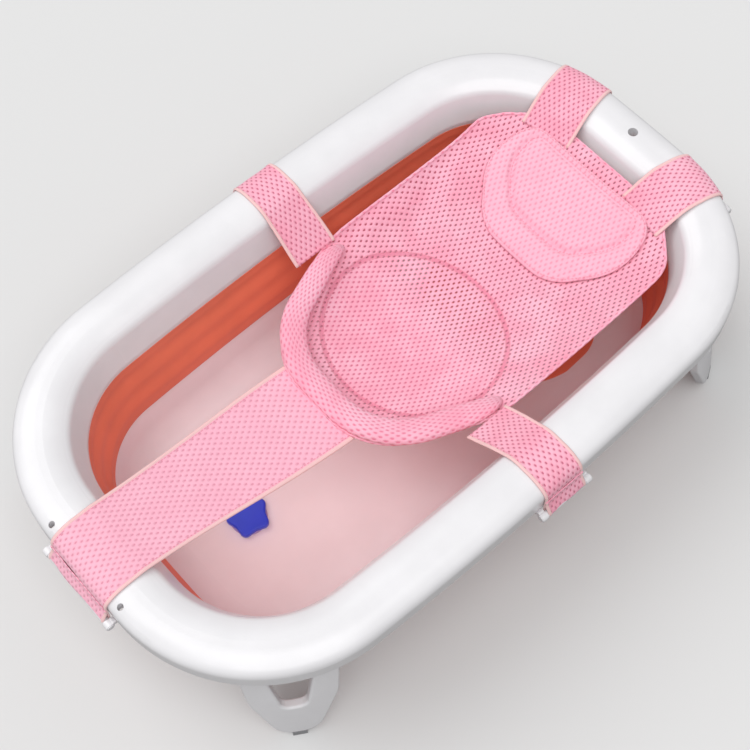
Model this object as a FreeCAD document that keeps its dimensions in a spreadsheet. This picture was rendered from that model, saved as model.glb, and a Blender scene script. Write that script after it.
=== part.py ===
"""Folding baby bathtub with a hammock seat.

The rim is the fixed part.  The basin hangs from it in a rubber wall and rises as the tub folds,
four leg loops hinge under the rim, the drain plug lifts out, and five hook bars hold the net.
+X points to the head end, +Y to the far side and +Z up.  The floor is at Z = 0.
"""
import FreeCAD, Part
import math
import os
import Sketcher

V = FreeCAD.Vector
X_AXIS, Z_AXIS = V(1, 0, 0), V(0, 0, 1)
doc = FreeCAD.newDocument("BabyBathtub")

# ---------------------------------------------------------------- driving dimensions (mm, degrees)
SIZES = {
    # rim and its section
    "tub_length": 820, "tub_width": 500, "tub_height": 215,
    "side_radius": 4500, "end_radius": 2900, "corner_radius": 157,
    "rim_width": 60, "rim_wall": 2.6, "skirt_drop": 36, "crown_flat": 28, "crown_round": 38,
    "shoulder_drop": 9, "shoulder_round": 12, "lip_drop": 50, "lip_inset": 42, "lip_land": 6,
    # rubber wall and basin
    "band_height": 90, "band_wall": 2, "band_lean": 13, "band_crease": 5, "crease_round": 9,
    "basin_wall": 2.6, "basin_lean": 9, "floor_fillet": 32, "floor_land": 6, "floor_height": 13,
    "fold_travel": 105,
    "pad_from_end": 168, "pad_radius": 113, "pad_thick": 2.4, "pad_recess": 1.2, "pad_margin": 2,
    "ring_pitch": 24, "ring_width": 4, "ring_depth": 0.8,
    # drain
    "drain_from_end": 166, "drain_bore": 17, "drain_collar_wall": 4, "drain_collar_drop": 7,
    "plug_clearance": 0.5, "star_tip": 29, "star_root": 20, "star_round": 7, "star_turn": 12,
    "star_thick": 7, "seal_radius": 22, "seal_thick": 1.6, "stem_length": 10, "stem_wall": 2.4,
    # legs
    "leg_turn": 58, "leg_inset": 2, "hinge_drop": 48, "leg_splay": 10, "leg_thick": 12,
    "leg_top_width": 108, "leg_knee_width": 96, "leg_knee_drop": 88, "leg_knee_round": 40,
    "leg_foot_width": 44, "leg_foot_round": 24, "leg_edge_round": 3, "leg_bow": 5, "leg_curve": 158,
    "window_top_width": 54, "window_foot_width": 26, "window_top_drop": 12, "window_foot_drop": 99,
    "window_top_round": 8, "window_foot_round": 11, "barrel_radius": 8,
    "pin_radius": 3, "pin_clearance": 0.06, "lug_thick": 7, "lug_gap": 0.5, "lug_width": 20,
    "foot_pad_thick": 4, "foot_pad_length": 16,
    # holes in the rim
    "hang_radius": 6, "sleeve_wall": 2.5, "hang_sleeve": 22,
    "peg_radius": 3.5, "peg_out": 20, "peg_spread": 57, "peg_sleeve": 18,
    # net
    "net_thick": 4, "net_from_end": 42, "net_from_side": 74, "net_length": 444, "net_gap": 0.4,
    "net_front_half": 80, "net_front_round": 90, "net_hip": 308, "net_hip_round": 150,
    "net_shoulder": 48, "net_back_half": 90, "net_back_round": 46, "sling_margin": 14,
    "roll_width": 38, "roll_thick": 24, "roll_reach": 166,
    "pillow_thick": 15, "pillow_margin": 16, "pillow_length": 154, "pillow_shoulder": 69,
    "pillow_front_half": 57, "pillow_half": 114, "pillow_back_half": 103, "pillow_round": 60,
    "pillow_back_round": 30,
    # straps and hook bars
    "strap_thick": 1.6, "strap_gap": 0.5, "foot_strap": 93, "side_strap": 54, "side_from_back": 321,
    "head_strap": 66, "head_strap_turn": 11, "strap_lap": 8, "strap_sink": 1.8, "strap_tuck": 16,
    "foot_fall": 48, "side_fall": 43, "head_fall": 20,
    "bar_radius": 4, "bar_knob": 5, "bar_end": 9, "bar_out": 37.5, "bar_drop": 40, "hem_lap": 6,
    "claw_gap": 1, "claw_width": 7, "claw_thick": 4, "claw_clearance": 0.6, "claw_reach": 17,
    "hem_wall": 1.6,
}
# The hammock's stations: distance from the net's back, then the drops of its edge and its middle.
STATIONS = [(453, 29, 49), (398, 31, 67), (318, 33, 84), (218, 32, 88), (128, 29, 75), (53, 23, 49),
            (13, 17, 24), (-12, 14, 17)]
STATION_PARTS = ("back", "edge", "middle")
for index, station in enumerate(STATIONS):
    for part, amount in zip(STATION_PARTS, station):
        SIZES[f"station_{index}_{part}"] = amount

sheet = doc.addObject("Spreadsheet::Sheet", "Sizes")
for row, (alias, amount) in enumerate(SIZES.items(), start=1):
    sheet.set(f"A{row}", alias)
    sheet.set(f"B{row}", str(amount))
    sheet.setAlias(f"B{row}", alias)
doc.recompute()


class Size:
    """A number with the spreadsheet expression that gives it."""

    def __init__(self, value, text):
        self.value = float(value)
        self.text = text

    def __add__(self, other):
        return Size(self.value + number(other), f"({self.text} + {words(other)})")

    def __sub__(self, other):
        return Size(self.value - number(other), f"({self.text} - {words(other)})")

    def __mul__(self, other):
        return Size(self.value * number(other), f"({self.text} * {words(other)})")

    def __truediv__(self, other):
        return Size(self.value / number(other), f"({self.text} / {words(other)})")

    def __radd__(self, other):
        return self + other

    def __rsub__(self, other):
        return self * -1 + other

    def __rmul__(self, other):
        return self * other

    def __neg__(self):
        return self * -1


def number(size):
    return size.value if isinstance(size, Size) else float(size)


def words(size):
    return size.text if isinstance(size, Size) else repr(float(size))


def sine(angle):
    return Size(math.sin(math.radians(number(angle))), f"sin({words(angle)} * 1 deg)")


def cosine(angle):
    return Size(math.cos(math.radians(number(angle))), f"cos({words(angle)} * 1 deg)")


def tangent(angle):
    return sine(angle) / cosine(angle)


class Sheet:
    """Each driving dimension by name."""

    def __getattr__(self, name):
        return Size(sheet.get(name), f"Sizes.{name}")


S = Sheet()


def bind(thing, **sizes):
    """Tie properties of a document object to sizes."""
    for name, size in sizes.items():
        if isinstance(size, Size):
            thing.setExpression(name, size.text)
        setattr(thing, name, number(size))
    return thing


# ---------------------------------------------------------------- sketches
class Drawing:
    """A sketch whose points and radii are tied to sizes."""

    def __init__(self, name, body=None, role="XY_Plane", place=None):
        if body:
            self.sketch = body.newObject("Sketcher::SketchObject", name)
            planes = {feature.Role: feature for feature in body.Origin.OriginFeatures}
            self.sketch.AttachmentSupport = [(planes[role], "")]
            self.sketch.MapMode = "FlatFace"
        else:
            self.sketch = doc.addObject("Sketcher::SketchObject", name)
            if place:
                self.sketch.Placement = place

    def rule(self, kind, *where, size=None):
        if size is None:
            self.sketch.addConstraint(Sketcher.Constraint(kind, *where))
            return
        index = self.sketch.addConstraint(Sketcher.Constraint(kind, *where, number(size)))
        if isinstance(size, Size):
            self.sketch.setExpression(f"Constraints[{index}]", size.text)

    def pin(self, item, point, x, y):
        """Hold one point of an item at x, y from the sketch's origin."""
        self.rule("DistanceX", -1, 1, item, point, size=x)
        self.rule("DistanceY", -1, 1, item, point, size=y)

    def circle(self, x, y, radius):
        item = self.sketch.addGeometry(Part.Circle(V(number(x), number(y), 0), Z_AXIS, number(radius)))
        self.pin(item, 3, x, y)
        self.rule("Radius", item, size=radius)
        return self.sketch

    def outline(self, corners, closed=True):
        """Straight sides through corners (x, y) or rounded corners (x, y, radius)."""
        count = len(corners)
        spots = [V(number(c[0]), number(c[1]), 0) for c in corners]
        arcs = {}
        for i, corner in enumerate(corners):
            if len(corner) == 3:
                back = (spots[i - 1] - spots[i]).normalize()
                ahead = (spots[(i + 1) % count] - spots[i]).normalize()
                half = back.getAngle(ahead) / 2
                reach = number(corner[2]) / math.tan(half)
                centre = spots[i] + (back + ahead).normalize() * (number(corner[2]) / math.sin(half))
                middle = centre + (spots[i] - centre).normalize() * number(corner[2])
                arcs[i] = (spots[i] + back * reach, middle, spots[i] + ahead * reach)
        last = count if closed else count - 1
        sides = []
        for i in range(last):
            j = (i + 1) % count
            start = arcs[i][2] if i in arcs else spots[i]
            finish = arcs[j][0] if j in arcs else spots[j]
            sides.append(self.sketch.addGeometry(Part.LineSegment(start, finish)))
        for i, corner in enumerate(corners):
            after = sides[i] if i < last else None
            before = sides[i - 1] if closed or i > 0 else None
            if i in arcs:
                self.round_corner(before, after, arcs[i], spots[i], corner)
                continue
            if after is None:
                self.pin(before, 2, corner[0], corner[1])
                continue
            self.pin(after, 1, corner[0], corner[1])
            if before is not None:
                self.rule("Coincident", before, 2, after, 1)
        return self.sketch

    def round_corner(self, before, after, arc, spot, corner):
        vertex = self.sketch.addGeometry(Part.Point(spot), True)
        self.pin(vertex, 1, corner[0], corner[1])
        self.rule("PointOnObject", vertex, 1, before)
        self.rule("PointOnObject", vertex, 1, after)
        bend = self.sketch.addGeometry(Part.Arc(*arc))
        ends = [self.sketch.getPoint(bend, end) for end in (1, 2)]
        first, second = (1, 2) if (ends[0] - arc[0]).Length < (ends[1] - arc[0]).Length else (2, 1)
        self.rule("Tangent", before, 2, bend, first)
        self.rule("Tangent", bend, second, after, 1)
        self.rule("Radius", bend, size=corner[2])


HALF_LENGTH = (S.tub_length - S.rim_width) / 2
HALF_WIDTH = (S.tub_width - S.rim_width) / 2


def corner_centre():
    """Centre of the corner arc that touches the side arc and the end arc, in the +X +Y quarter."""
    side = V(0, number(HALF_WIDTH - S.side_radius), 0)
    end = V(number(HALF_LENGTH - S.end_radius), 0, 0)
    from_side = number(S.side_radius - S.corner_radius)
    from_end = number(S.end_radius - S.corner_radius)
    line = end - side
    along = (line.Length ** 2 + from_side ** 2 - from_end ** 2) / (2 * line.Length)
    across = math.sqrt(from_side ** 2 - along ** 2)
    ahead = V(line).normalize()
    sideways = V(-ahead.y, ahead.x, 0)
    spots = [side + ahead * along + sideways * (across * sign) for sign in (1, -1)]
    return max(spots, key=lambda spot: spot.x + spot.y)


CORNER = corner_centre()


def oval(name, offset, body=None):
    """The tub's plan: eight arcs, tangent in turn, grown outward by offset."""
    drawing = Drawing(name, body)
    side_y = number(HALF_WIDTH - S.side_radius)
    end_x = number(HALF_LENGTH - S.end_radius)
    at_side = math.atan2(CORNER.y - side_y, CORNER.x)
    at_end = math.atan2(CORNER.y, CORNER.x - end_x)
    half = math.pi
    radii = {"end": S.end_radius + offset, "corner": S.corner_radius + offset,
             "side": S.side_radius + offset}
    turns = [("end", end_x, 0, -at_end, at_end),
             ("corner", CORNER.x, CORNER.y, at_end, at_side),
             ("side", 0, side_y, at_side, half - at_side),
             ("corner", -CORNER.x, CORNER.y, half - at_side, half - at_end),
             ("end", -end_x, 0, half - at_end, half + at_end),
             ("corner", -CORNER.x, -CORNER.y, half + at_end, half + at_side),
             ("side", 0, -side_y, half + at_side, 2 * half - at_side),
             ("corner", CORNER.x, -CORNER.y, 2 * half - at_side, 2 * half - at_end)]
    for kind, x, y, start, finish in turns:
        circle = Part.Circle(V(x, y, 0), Z_AXIS, number(radii[kind]))
        drawing.sketch.addGeometry(Part.ArcOfCircle(circle, start, finish))
    for i, (kind, *_) in enumerate(turns):
        drawing.rule("Tangent", i, 2, (i + 1) % len(turns), 1)
        drawing.rule("Radius", i, size=radii[kind])
    for item, sign in ((0, 1), (4, -1)):
        drawing.pin(item, 3, sign * (HALF_LENGTH - S.end_radius), 0)
    for item, sign in ((2, 1), (6, -1)):
        drawing.pin(item, 3, 0, sign * (HALF_WIDTH - S.side_radius))
    return drawing.sketch


# ---------------------------------------------------------------- building blocks
SECTION_PLACE = FreeCAD.Placement(V(number(HALF_LENGTH), 0, number(S.tub_height)),
                                  FreeCAD.Rotation(X_AXIS, 90))
NOTHING = Size(0, "0")
spine = oval("Spine", NOTHING)
doc.recompute()


def add(kind, name, **links):
    thing = doc.addObject(kind, name)
    for key, value in links.items():
        setattr(thing, key, value)
    return thing


def ribbon(name, line, wall):
    """A strip of even wall on one side of an open line."""
    return bind(add("Part::Offset2D", name, Source=line, Mode="Skin", Fill=True), Value=wall)


def section_line(name, corners):
    """An open line in the tub's section: out from the plan's spine, down from the rim's crown."""
    return Drawing(name, place=SECTION_PLACE).outline(corners, closed=False)


def around(name, section):
    """Sweep a section round the tub's plan."""
    edges = [f"Edge{i + 1}" for i in range(len(spine.Geometry))]
    return add("Part::Sweep", name, Sections=[section], Spine=(spine, edges), Solid=True)


def extrusion(name, base, low, high, direction=Z_AXIS):
    """A prism of a sketch from low to high along a direction."""
    prism = add("Part::Extrusion", name, Base=base, DirMode="Custom", Dir=direction, Solid=True)
    return bind(prism, LengthFwd=high, LengthRev=-low)


def fuse(name, *parts):
    return add("Part::MultiFuse", name, Shapes=list(parts), Refine=True)


def cut(name, base, tool):
    return add("Part::Cut", name, Base=base, Tool=tool, Refine=True)


def common(name, base, tool):
    return add("Part::Common", name, Base=base, Tool=tool, Refine=True)


def cylinder(name, radius, height, spot, axis=Z_AXIS):
    """A cylinder whose axis starts at spot."""
    part = bind(doc.addObject("Part::Cylinder", name), Radius=radius, Height=height)
    part.Placement = FreeCAD.Placement(V(*[number(c) for c in spot]), FreeCAD.Rotation(Z_AXIS, axis))
    return part


def box(name, low, high, place=FreeCAD.Placement()):
    """A box between two opposite corners."""
    part = doc.addObject("Part::Box", name)
    bind(part, Length=high[0] - low[0], Width=high[1] - low[1], Height=high[2] - low[2])
    corner = FreeCAD.Placement(V(*[number(c) for c in low]), FreeCAD.Rotation())
    part.Placement = place.multiply(corner)
    return part


def turned(spot, angle, tilt=0.0):
    """A frame at spot whose +Y points out of the tub at angle from +X, leaning out by tilt."""
    turn = FreeCAD.Rotation(Z_AXIS, angle - 90)
    return FreeCAD.Placement(spot, turn.multiply(FreeCAD.Rotation(X_AXIS, tilt)))


nodes = []


def node(thing, label, place=None):
    """Name a finished piece and, if asked, move it from its own frame to its place."""
    if place:
        thing.Placement = place
    thing.Label = label
    nodes.append(thing)
    return thing


# ---------------------------------------------------------------- rim
RIM_HALF = S.rim_width / 2
CROWN_HALF = S.crown_flat / 2


def crown(gap):
    """The rim's outer line grown by gap: skirt, two crown corners and the inner lip."""
    return [(RIM_HALF + gap, -S.skirt_drop),
            (RIM_HALF + gap, -S.shoulder_drop + gap / 2, S.shoulder_round + gap),
            (CROWN_HALF + gap / 4, gap, S.crown_round + gap),
            (-CROWN_HALF - gap / 4, gap, S.crown_round + gap),
            (-RIM_HALF - gap, -S.shoulder_drop + gap / 2, S.shoulder_round + gap),
            (-S.lip_inset - gap, -S.lip_drop + S.lip_land, S.crease_round),
            (-S.lip_inset - gap, -S.lip_drop)]


rim_line = section_line("rim_line", crown(NOTHING))
rim_shell = around("rim_shell", ribbon("rim_section", rim_line, S.rim_wall))
above_rim = around("above_rim", ribbon("above_section", rim_line, -S.shoulder_round))

HINGE_Z = S.tub_height - S.hinge_drop
LUG_FACE = S.leg_top_width / 2 + S.lug_gap
LEG_SIGNS = {"head_far": (1, 1), "foot_far": (-1, 1), "foot_near": (-1, -1), "head_near": (1, -1)}


def leg_frame(corner, tilt=0.0):
    """The hinge's own frame: X along the pin, Y out of the tub."""
    sign_x, sign_y = LEG_SIGNS[corner]
    turn = math.radians(number(S.leg_turn))
    out = V(sign_x * math.cos(turn), sign_y * math.sin(turn), 0)
    spot = V(sign_x * CORNER.x, sign_y * CORNER.y, 0) + out * number(S.corner_radius + S.leg_inset)
    spot.z = number(HINGE_Z)
    return turned(spot, math.degrees(math.atan2(out.y, out.x)), tilt)


def lug_pair(corner):
    """Two ears under the rim that carry one leg's pin."""
    ears = []
    for sign in (-1, 1):
        name = f"{corner}_ear_{'left' if sign < 0 else 'right'}"
        inner = sign * LUG_FACE
        outer = sign * (LUG_FACE + S.lug_thick)
        low_x, high_x = (inner, outer) if sign > 0 else (outer, inner)
        block = box(f"{name}_block", (low_x, -S.lug_width / 2, NOTHING),
                    (high_x, S.lug_width / 2, S.hinge_drop - S.rim_wall / 2), leg_frame(corner))
        start = leg_frame(corner).multVec(V(number(low_x), 0, 0))
        along = leg_frame(corner).Rotation.multVec(X_AXIS)
        foot = cylinder(f"{name}_foot", S.lug_width / 2, S.lug_thick, (start.x, start.y, start.z), along)
        ears += [block, foot]
    return ears


lugs = [ear for corner in LEG_SIGNS for ear in lug_pair(corner)]
bores = []
for corner in LEG_SIGNS:
    frame = leg_frame(corner)
    reach = LUG_FACE + S.lug_thick * 2
    start = frame.multVec(V(-number(reach), 0, 0))
    along = frame.Rotation.multVec(X_AXIS)
    bores.append(cylinder(f"{corner}_bore", S.pin_radius + S.pin_clearance, reach * 2, start, along))

hang_spot = (HALF_LENGTH, 0, S.tub_height - S.hang_sleeve)
hang_sleeve = cylinder("hang_sleeve", S.hang_radius + S.sleeve_wall, S.hang_sleeve, hang_spot)
hang_bore = cylinder("hang_bore", S.hang_radius, S.hang_sleeve * 2, hang_spot)
peg_sleeves, peg_bores = [], []
for side in (-1, 1):
    spot = (-HALF_LENGTH - S.peg_out, side * S.peg_spread, S.tub_height - S.peg_sleeve)
    sleeve = cylinder(f"peg_sleeve_{side + 1}", S.peg_radius + S.sleeve_wall, S.peg_sleeve, spot)
    peg_sleeves.append(sleeve)
    peg_bores.append(cylinder(f"peg_bore_{side + 1}", S.peg_radius, S.peg_sleeve * 2, spot))

rim_solid = fuse("rim_solid", rim_shell, *lugs, hang_sleeve, *peg_sleeves)
rim_tools = fuse("rim_tools", above_rim, hang_bore, *peg_bores, *bores)
node(cut("rim_bored", rim_solid, rim_tools), "rim")

# ---------------------------------------------------------------- rubber wall
BAND_TOP = -S.lip_drop
BAND_FOOT = -S.lip_drop - S.band_height
BASIN_OUT = -S.lip_inset - S.band_lean
band_corners = [(-S.lip_inset, BAND_TOP),
                (-S.lip_inset, BAND_TOP - S.lip_land, S.crease_round),
                (-S.lip_inset - S.band_crease, BAND_TOP - S.band_height / 3, S.crease_round),
                (-S.lip_inset - S.band_lean / 2, BAND_TOP - S.band_height * 2 / 3, S.crease_round),
                (BASIN_OUT, BAND_FOOT + S.lip_land, S.crease_round),
                (BASIN_OUT, BAND_FOOT)]
band_section = ribbon("band_section", section_line("band_line", band_corners), S.band_wall)
node(around("band", band_section), "wall_band")

# ---------------------------------------------------------------- basin
FLOOR_TOP = S.floor_height
FLOOR_DROP = S.tub_height - FLOOR_TOP
FLOOR_EDGE = BASIN_OUT - S.basin_lean - S.floor_fillet - S.floor_land
basin_corners = [(BASIN_OUT, BAND_FOOT),
                 (BASIN_OUT, BAND_FOOT - S.lip_land, S.crease_round),
                 (BASIN_OUT - S.basin_lean, -FLOOR_DROP, S.floor_fillet),
                 (FLOOR_EDGE, -FLOOR_DROP)]
basin_section = ribbon("basin_section", section_line("basin_line", basin_corners), S.basin_wall)
basin_side = around("basin_side", basin_section)
FLOOR_UNDER = FLOOR_TOP - S.basin_wall
basin_floor = extrusion("basin_floor", oval("floor_plan", FLOOR_EDGE), FLOOR_UNDER, FLOOR_TOP)
DRAIN_X = S.drain_from_end - HALF_LENGTH
PAD_X = HALF_LENGTH - S.pad_from_end
collar = cylinder("drain_collar", S.drain_bore + S.drain_collar_wall, S.drain_collar_drop + S.basin_wall / 2,
                  (DRAIN_X, 0, FLOOR_UNDER - S.drain_collar_drop))
drain_bore = cylinder("drain_bore_tool", S.drain_bore, S.drain_collar_drop * 4,
                      (DRAIN_X, 0, FLOOR_UNDER - S.drain_collar_drop * 2))
pad_limit = extrusion("pad_limit", oval("pad_limit_plan", FLOOR_EDGE - S.pad_margin), 0, S.tub_height)
pad_disc_tool = cylinder("pad_disc_tool", S.pad_radius, S.pad_thick, (PAD_X, 0, FLOOR_TOP - S.pad_recess))
pad_seat = common("pad_seat", pad_disc_tool, pad_limit)
basin_solid = fuse("basin_solid", basin_side, basin_floor, collar)
node(cut("basin_cut", basin_solid, fuse("basin_tools", drain_bore, pad_seat)), "basin")

# ---------------------------------------------------------------- non-slip pad in the basin floor
pad = doc.addObject("PartDesign::Body", "floor_pad_body")
pad_sketch = Drawing("pad_circle", pad).circle(0, 0, S.pad_radius)
disc = pad.newObject("PartDesign::Pad", "pad_disc")
disc.Profile = pad_sketch
bind(disc, Length=S.pad_thick)
doc.recompute()


def ring_groove(index):
    """One shallow ring on the pad's top that sheds water."""
    inner = S.ring_pitch * index
    drawing = Drawing(f"pad_ring_{index}", pad)
    drawing.circle(0, 0, inner)
    drawing.circle(0, 0, inner + S.ring_width)
    groove = pad.newObject("PartDesign::Pocket", f"pad_groove_{index}")
    groove.Profile = drawing.sketch
    groove.Reversed = True
    bind(groove, Length=S.ring_depth)
    return groove


for index in range(1, int(number(S.pad_radius) // number(S.ring_pitch)) + 1):
    if number(S.ring_pitch * index + S.ring_width * 2) < number(S.pad_radius):
        ring_groove(index)
pad.Placement = FreeCAD.Placement(V(number(PAD_X), 0, number(FLOOR_TOP - S.pad_recess)), FreeCAD.Rotation())
node(common("pad_trimmed", pad, pad_limit), "floor_pad")

# ---------------------------------------------------------------- drain plug
PLUG_FOOT = FLOOR_TOP + S.seal_thick
plug = doc.addObject("PartDesign::Body", "drain_plug_body")
STAR_POINTS = 5
star = []
for index in range(STAR_POINTS * 2):
    arm = 90 - number(S.star_turn) + index * 180 / STAR_POINTS
    size = S.star_root if index % 2 else S.star_tip
    star.append((size * math.cos(math.radians(arm)), size * math.sin(math.radians(arm)), S.star_round))
star_pad = plug.newObject("PartDesign::Pad", "star_head")
star_pad.Profile = Drawing("star_outline", plug).outline(star)
bind(star_pad, Length=S.star_thick)
doc.recompute()
top_edges = [f"Edge{i + 1}" for i, edge in enumerate(star_pad.Shape.Edges)
             if all(abs(vertex.Z - number(S.star_thick)) < 1e-6 for vertex in edge.Vertexes)]
star_edge = plug.newObject("PartDesign::Fillet", "star_edge")
star_edge.Base = (star_pad, top_edges)
bind(star_edge, Radius=S.star_thick / 3)
stem_pad = plug.newObject("PartDesign::Pad", "stem")
stem_pad.Profile = Drawing("stem_circle", plug).circle(0, 0, S.drain_bore - S.plug_clearance)
stem_pad.Reversed = True
bind(stem_pad, Length=S.stem_length)
stem_hollow = plug.newObject("PartDesign::Pocket", "stem_hollow")
STEM_RADIUS = S.drain_bore - S.plug_clearance
stem_hollow.Profile = Drawing("hollow_circle", plug).circle(0, 0, STEM_RADIUS - S.stem_wall)
bind(stem_hollow, Length=S.stem_length)
plug_place = FreeCAD.Placement(V(number(DRAIN_X), 0, number(PLUG_FOOT)), FreeCAD.Rotation())
node(plug, "drain_plug", plug_place)

seal_spot = (DRAIN_X, 0, FLOOR_TOP)
seal_disc = cylinder("seal_disc", S.seal_radius, S.seal_thick, seal_spot)
seal_hole = cylinder("seal_hole", S.drain_bore - S.plug_clearance, S.seal_thick * 2, seal_spot)
node(cut("seal_ring", seal_disc, seal_hole), "plug_seal")

# ---------------------------------------------------------------- legs, their pins and feet
LEG_LENGTH = (HINGE_Z - S.foot_pad_thick) / cosine(S.leg_splay) - S.leg_bow * tangent(S.leg_splay)


def leg_loop(corner):
    """One leg: a bowed shield with a window, carried by a barrel along its top."""
    body = doc.addObject("PartDesign::Body", f"{corner}_leg_body")

    def feature(kind, tag, drawing, length):
        made = body.newObject(f"PartDesign::{kind}", f"{corner}_{tag}")
        made.Profile = drawing
        made.Midplane = True
        return bind(made, Length=length)

    def side(tag, corners):
        """A closed outline in the leg's face, the same on both sides of its middle."""
        mirrored = [(-x, *rest) for x, *rest in corners]
        return Drawing(f"{corner}_{tag}", body, "XZ_Plane").outline(mirrored + corners[::-1])

    shield = side("outline", [(S.leg_top_width / 2, NOTHING),
                              (S.leg_knee_width / 2, -S.leg_knee_drop, S.leg_knee_round),
                              (S.leg_foot_width / 2, -LEG_LENGTH, S.leg_foot_round)])
    depth = S.leg_curve / 2
    feature("Pad", "shield", shield, depth)
    middle = S.leg_bow - S.leg_curve
    outer, inner = S.leg_curve + S.leg_thick / 2, S.leg_curve - S.leg_thick / 2
    front = Drawing(f"{corner}_front", body).circle(0, middle, inner)
    feature("Pocket", "hollow", front, LEG_LENGTH * 3)
    back = Drawing(f"{corner}_back", body)
    back.circle(0, middle, outer)
    back.circle(0, middle, outer + depth)
    feature("Pocket", "face", back.sketch, LEG_LENGTH * 3)
    window = side("window", [(S.window_top_width / 2, -S.window_top_drop, S.window_top_round),
                             (S.window_foot_width / 2, -S.window_foot_drop, S.window_foot_round)])
    opening = feature("Pocket", "opening", window, depth * 2)
    doc.recompute()
    bends = (number(outer), number(inner))
    faces = [f"Face{i + 1}" for i, face in enumerate(opening.Shape.Faces)
             if min(abs(getattr(face.Surface, "Radius", 0) - bend) for bend in bends) < 1e-6]
    soft = body.newObject("PartDesign::Fillet", f"{corner}_soft_edge")
    soft.Base = (opening, faces)
    bind(soft, Radius=S.leg_edge_round)
    barrel = Drawing(f"{corner}_barrel_circle", body, "YZ_Plane").circle(0, 0, S.barrel_radius)
    feature("Pad", "barrel", barrel, S.leg_top_width)
    bore = Drawing(f"{corner}_bore_circle", body, "YZ_Plane").circle(0, 0, S.pin_radius)
    body.Tip = feature("Pocket", "pin_bore", bore, S.leg_top_width * 2)
    return node(body, f"leg_{corner}", leg_frame(corner, number(S.leg_splay)))


def leg_pin(corner):
    """The steel pin that joins one leg to its two ears."""
    reach = LUG_FACE + S.lug_thick
    pin = bind(doc.addObject("Part::Cylinder", f"{corner}_pin"), Radius=S.pin_radius, Height=reach * 2)
    frame = leg_frame(corner)
    start = frame.multVec(V(-number(reach), 0, 0))
    return node(pin, f"leg_pin_{corner}",
                FreeCAD.Placement(start, frame.Rotation.multiply(FreeCAD.Rotation(Z_AXIS, X_AXIS))))


def foot_pad(corner):
    """The rubber wedge that levels one lean leg on the floor."""
    body = doc.addObject("PartDesign::Body", f"{corner}_foot_body")
    inner = S.leg_bow - S.leg_thick / 2
    outer = S.leg_bow + S.leg_thick / 2
    ground = HINGE_Z / cosine(S.leg_splay)
    slope = tangent(S.leg_splay)
    wedge = body.newObject("PartDesign::Pad", f"{corner}_wedge")
    wedge.Profile = Drawing(f"{corner}_wedge_side", body, "YZ_Plane").outline(
        [(inner, -LEG_LENGTH), (inner, -ground - inner * slope), (outer, -ground - outer * slope),
         (outer, -LEG_LENGTH)])
    wedge.Midplane = True
    bind(wedge, Length=S.foot_pad_length)
    return node(body, f"foot_pad_{corner}", leg_frame(corner, number(S.leg_splay)))


for corner in LEG_SIGNS:
    leg_loop(corner)
    leg_pin(corner)
    foot_pad(corner)

# ---------------------------------------------------------------- net: hammock, front roll, pillow
NET_BACK = HALF_LENGTH - S.net_from_end
NET_FRONT = NET_BACK - S.net_length
NET_HALF = HALF_WIDTH - S.net_from_side
NET_TOP = number(S.net_thick + S.net_gap)


def sling_layer(name, low, high):
    """The hammock's sagging sheet between two heights above its underside."""
    wires = []
    span = number(NET_HALF + S.sling_margin)
    for index in range(len(STATIONS)):
        back, edge_drop, middle_drop = [sheet.get(f"station_{index}_{part}") for part in STATION_PARTS]
        station = number(NET_BACK) - back
        edge_z, middle_z = number(S.tub_height) - edge_drop, number(S.tub_height) - middle_drop
        lower = Part.Arc(V(station, -span, edge_z + low), V(station, 0, middle_z + low),
                         V(station, span, edge_z + low)).toShape()
        upper = Part.Arc(V(station, span, edge_z + high), V(station, 0, middle_z + high),
                         V(station, -span, edge_z + high)).toShape()
        sides = [Part.LineSegment(V(station, sign * span, edge_z + first),
                                  V(station, sign * span, edge_z + second)).toShape()
                 for sign, first, second in ((1, low, high), (-1, high, low))]
        wires.append(Part.Wire([lower, sides[0], upper, sides[1]]))
    layer = doc.addObject("Part::Feature", name)
    layer.Shape = Part.makeLoft(wires, True, False)
    return layer


def mirrored(half):
    """A closed outline that is the same on both sides of the tub's long axis."""
    return [(x, -y, *rest) for x, y, *rest in half] + half[::-1]


def net_plan(name, grow=NOTHING):
    """The hammock seen from above."""
    return Drawing(name).outline(mirrored([
        (NET_FRONT - grow, S.net_front_half, S.net_front_round),
        (NET_BACK - S.net_hip, NET_HALF + grow, S.net_hip_round),
        (NET_BACK - S.net_shoulder, NET_HALF + grow, S.net_back_round),
        (NET_BACK + grow, S.net_back_half + grow / 2, S.net_back_round)]))


def prism(name, plan):
    return extrusion(name, plan, 0, S.tub_height + S.roll_thick)


net_prism = prism("net_prism", net_plan("net_plan"))
seat_sheet = sling_layer("seat_sheet", 0, number(S.net_thick))
node(common("seat_trimmed", seat_sheet, net_prism), "net_seat")

roll_layer = sling_layer("roll_layer", NET_TOP, NET_TOP + number(S.roll_thick))
roll_inner = prism("roll_inner", net_plan("roll_plan", -S.roll_width))
roll_band = cut("roll_band", prism("roll_outer", net_plan("roll_outer_plan")), roll_inner)
roll_front = box("roll_front", (NET_FRONT - S.roll_width, -NET_HALF - S.roll_width, NOTHING),
                 (NET_FRONT + S.roll_reach, NET_HALF + S.roll_width, S.tub_height))
roll_shape = common("roll_shape", common("roll_ring", roll_layer, roll_band), roll_front)
node(roll_shape, "net_roll")

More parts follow.
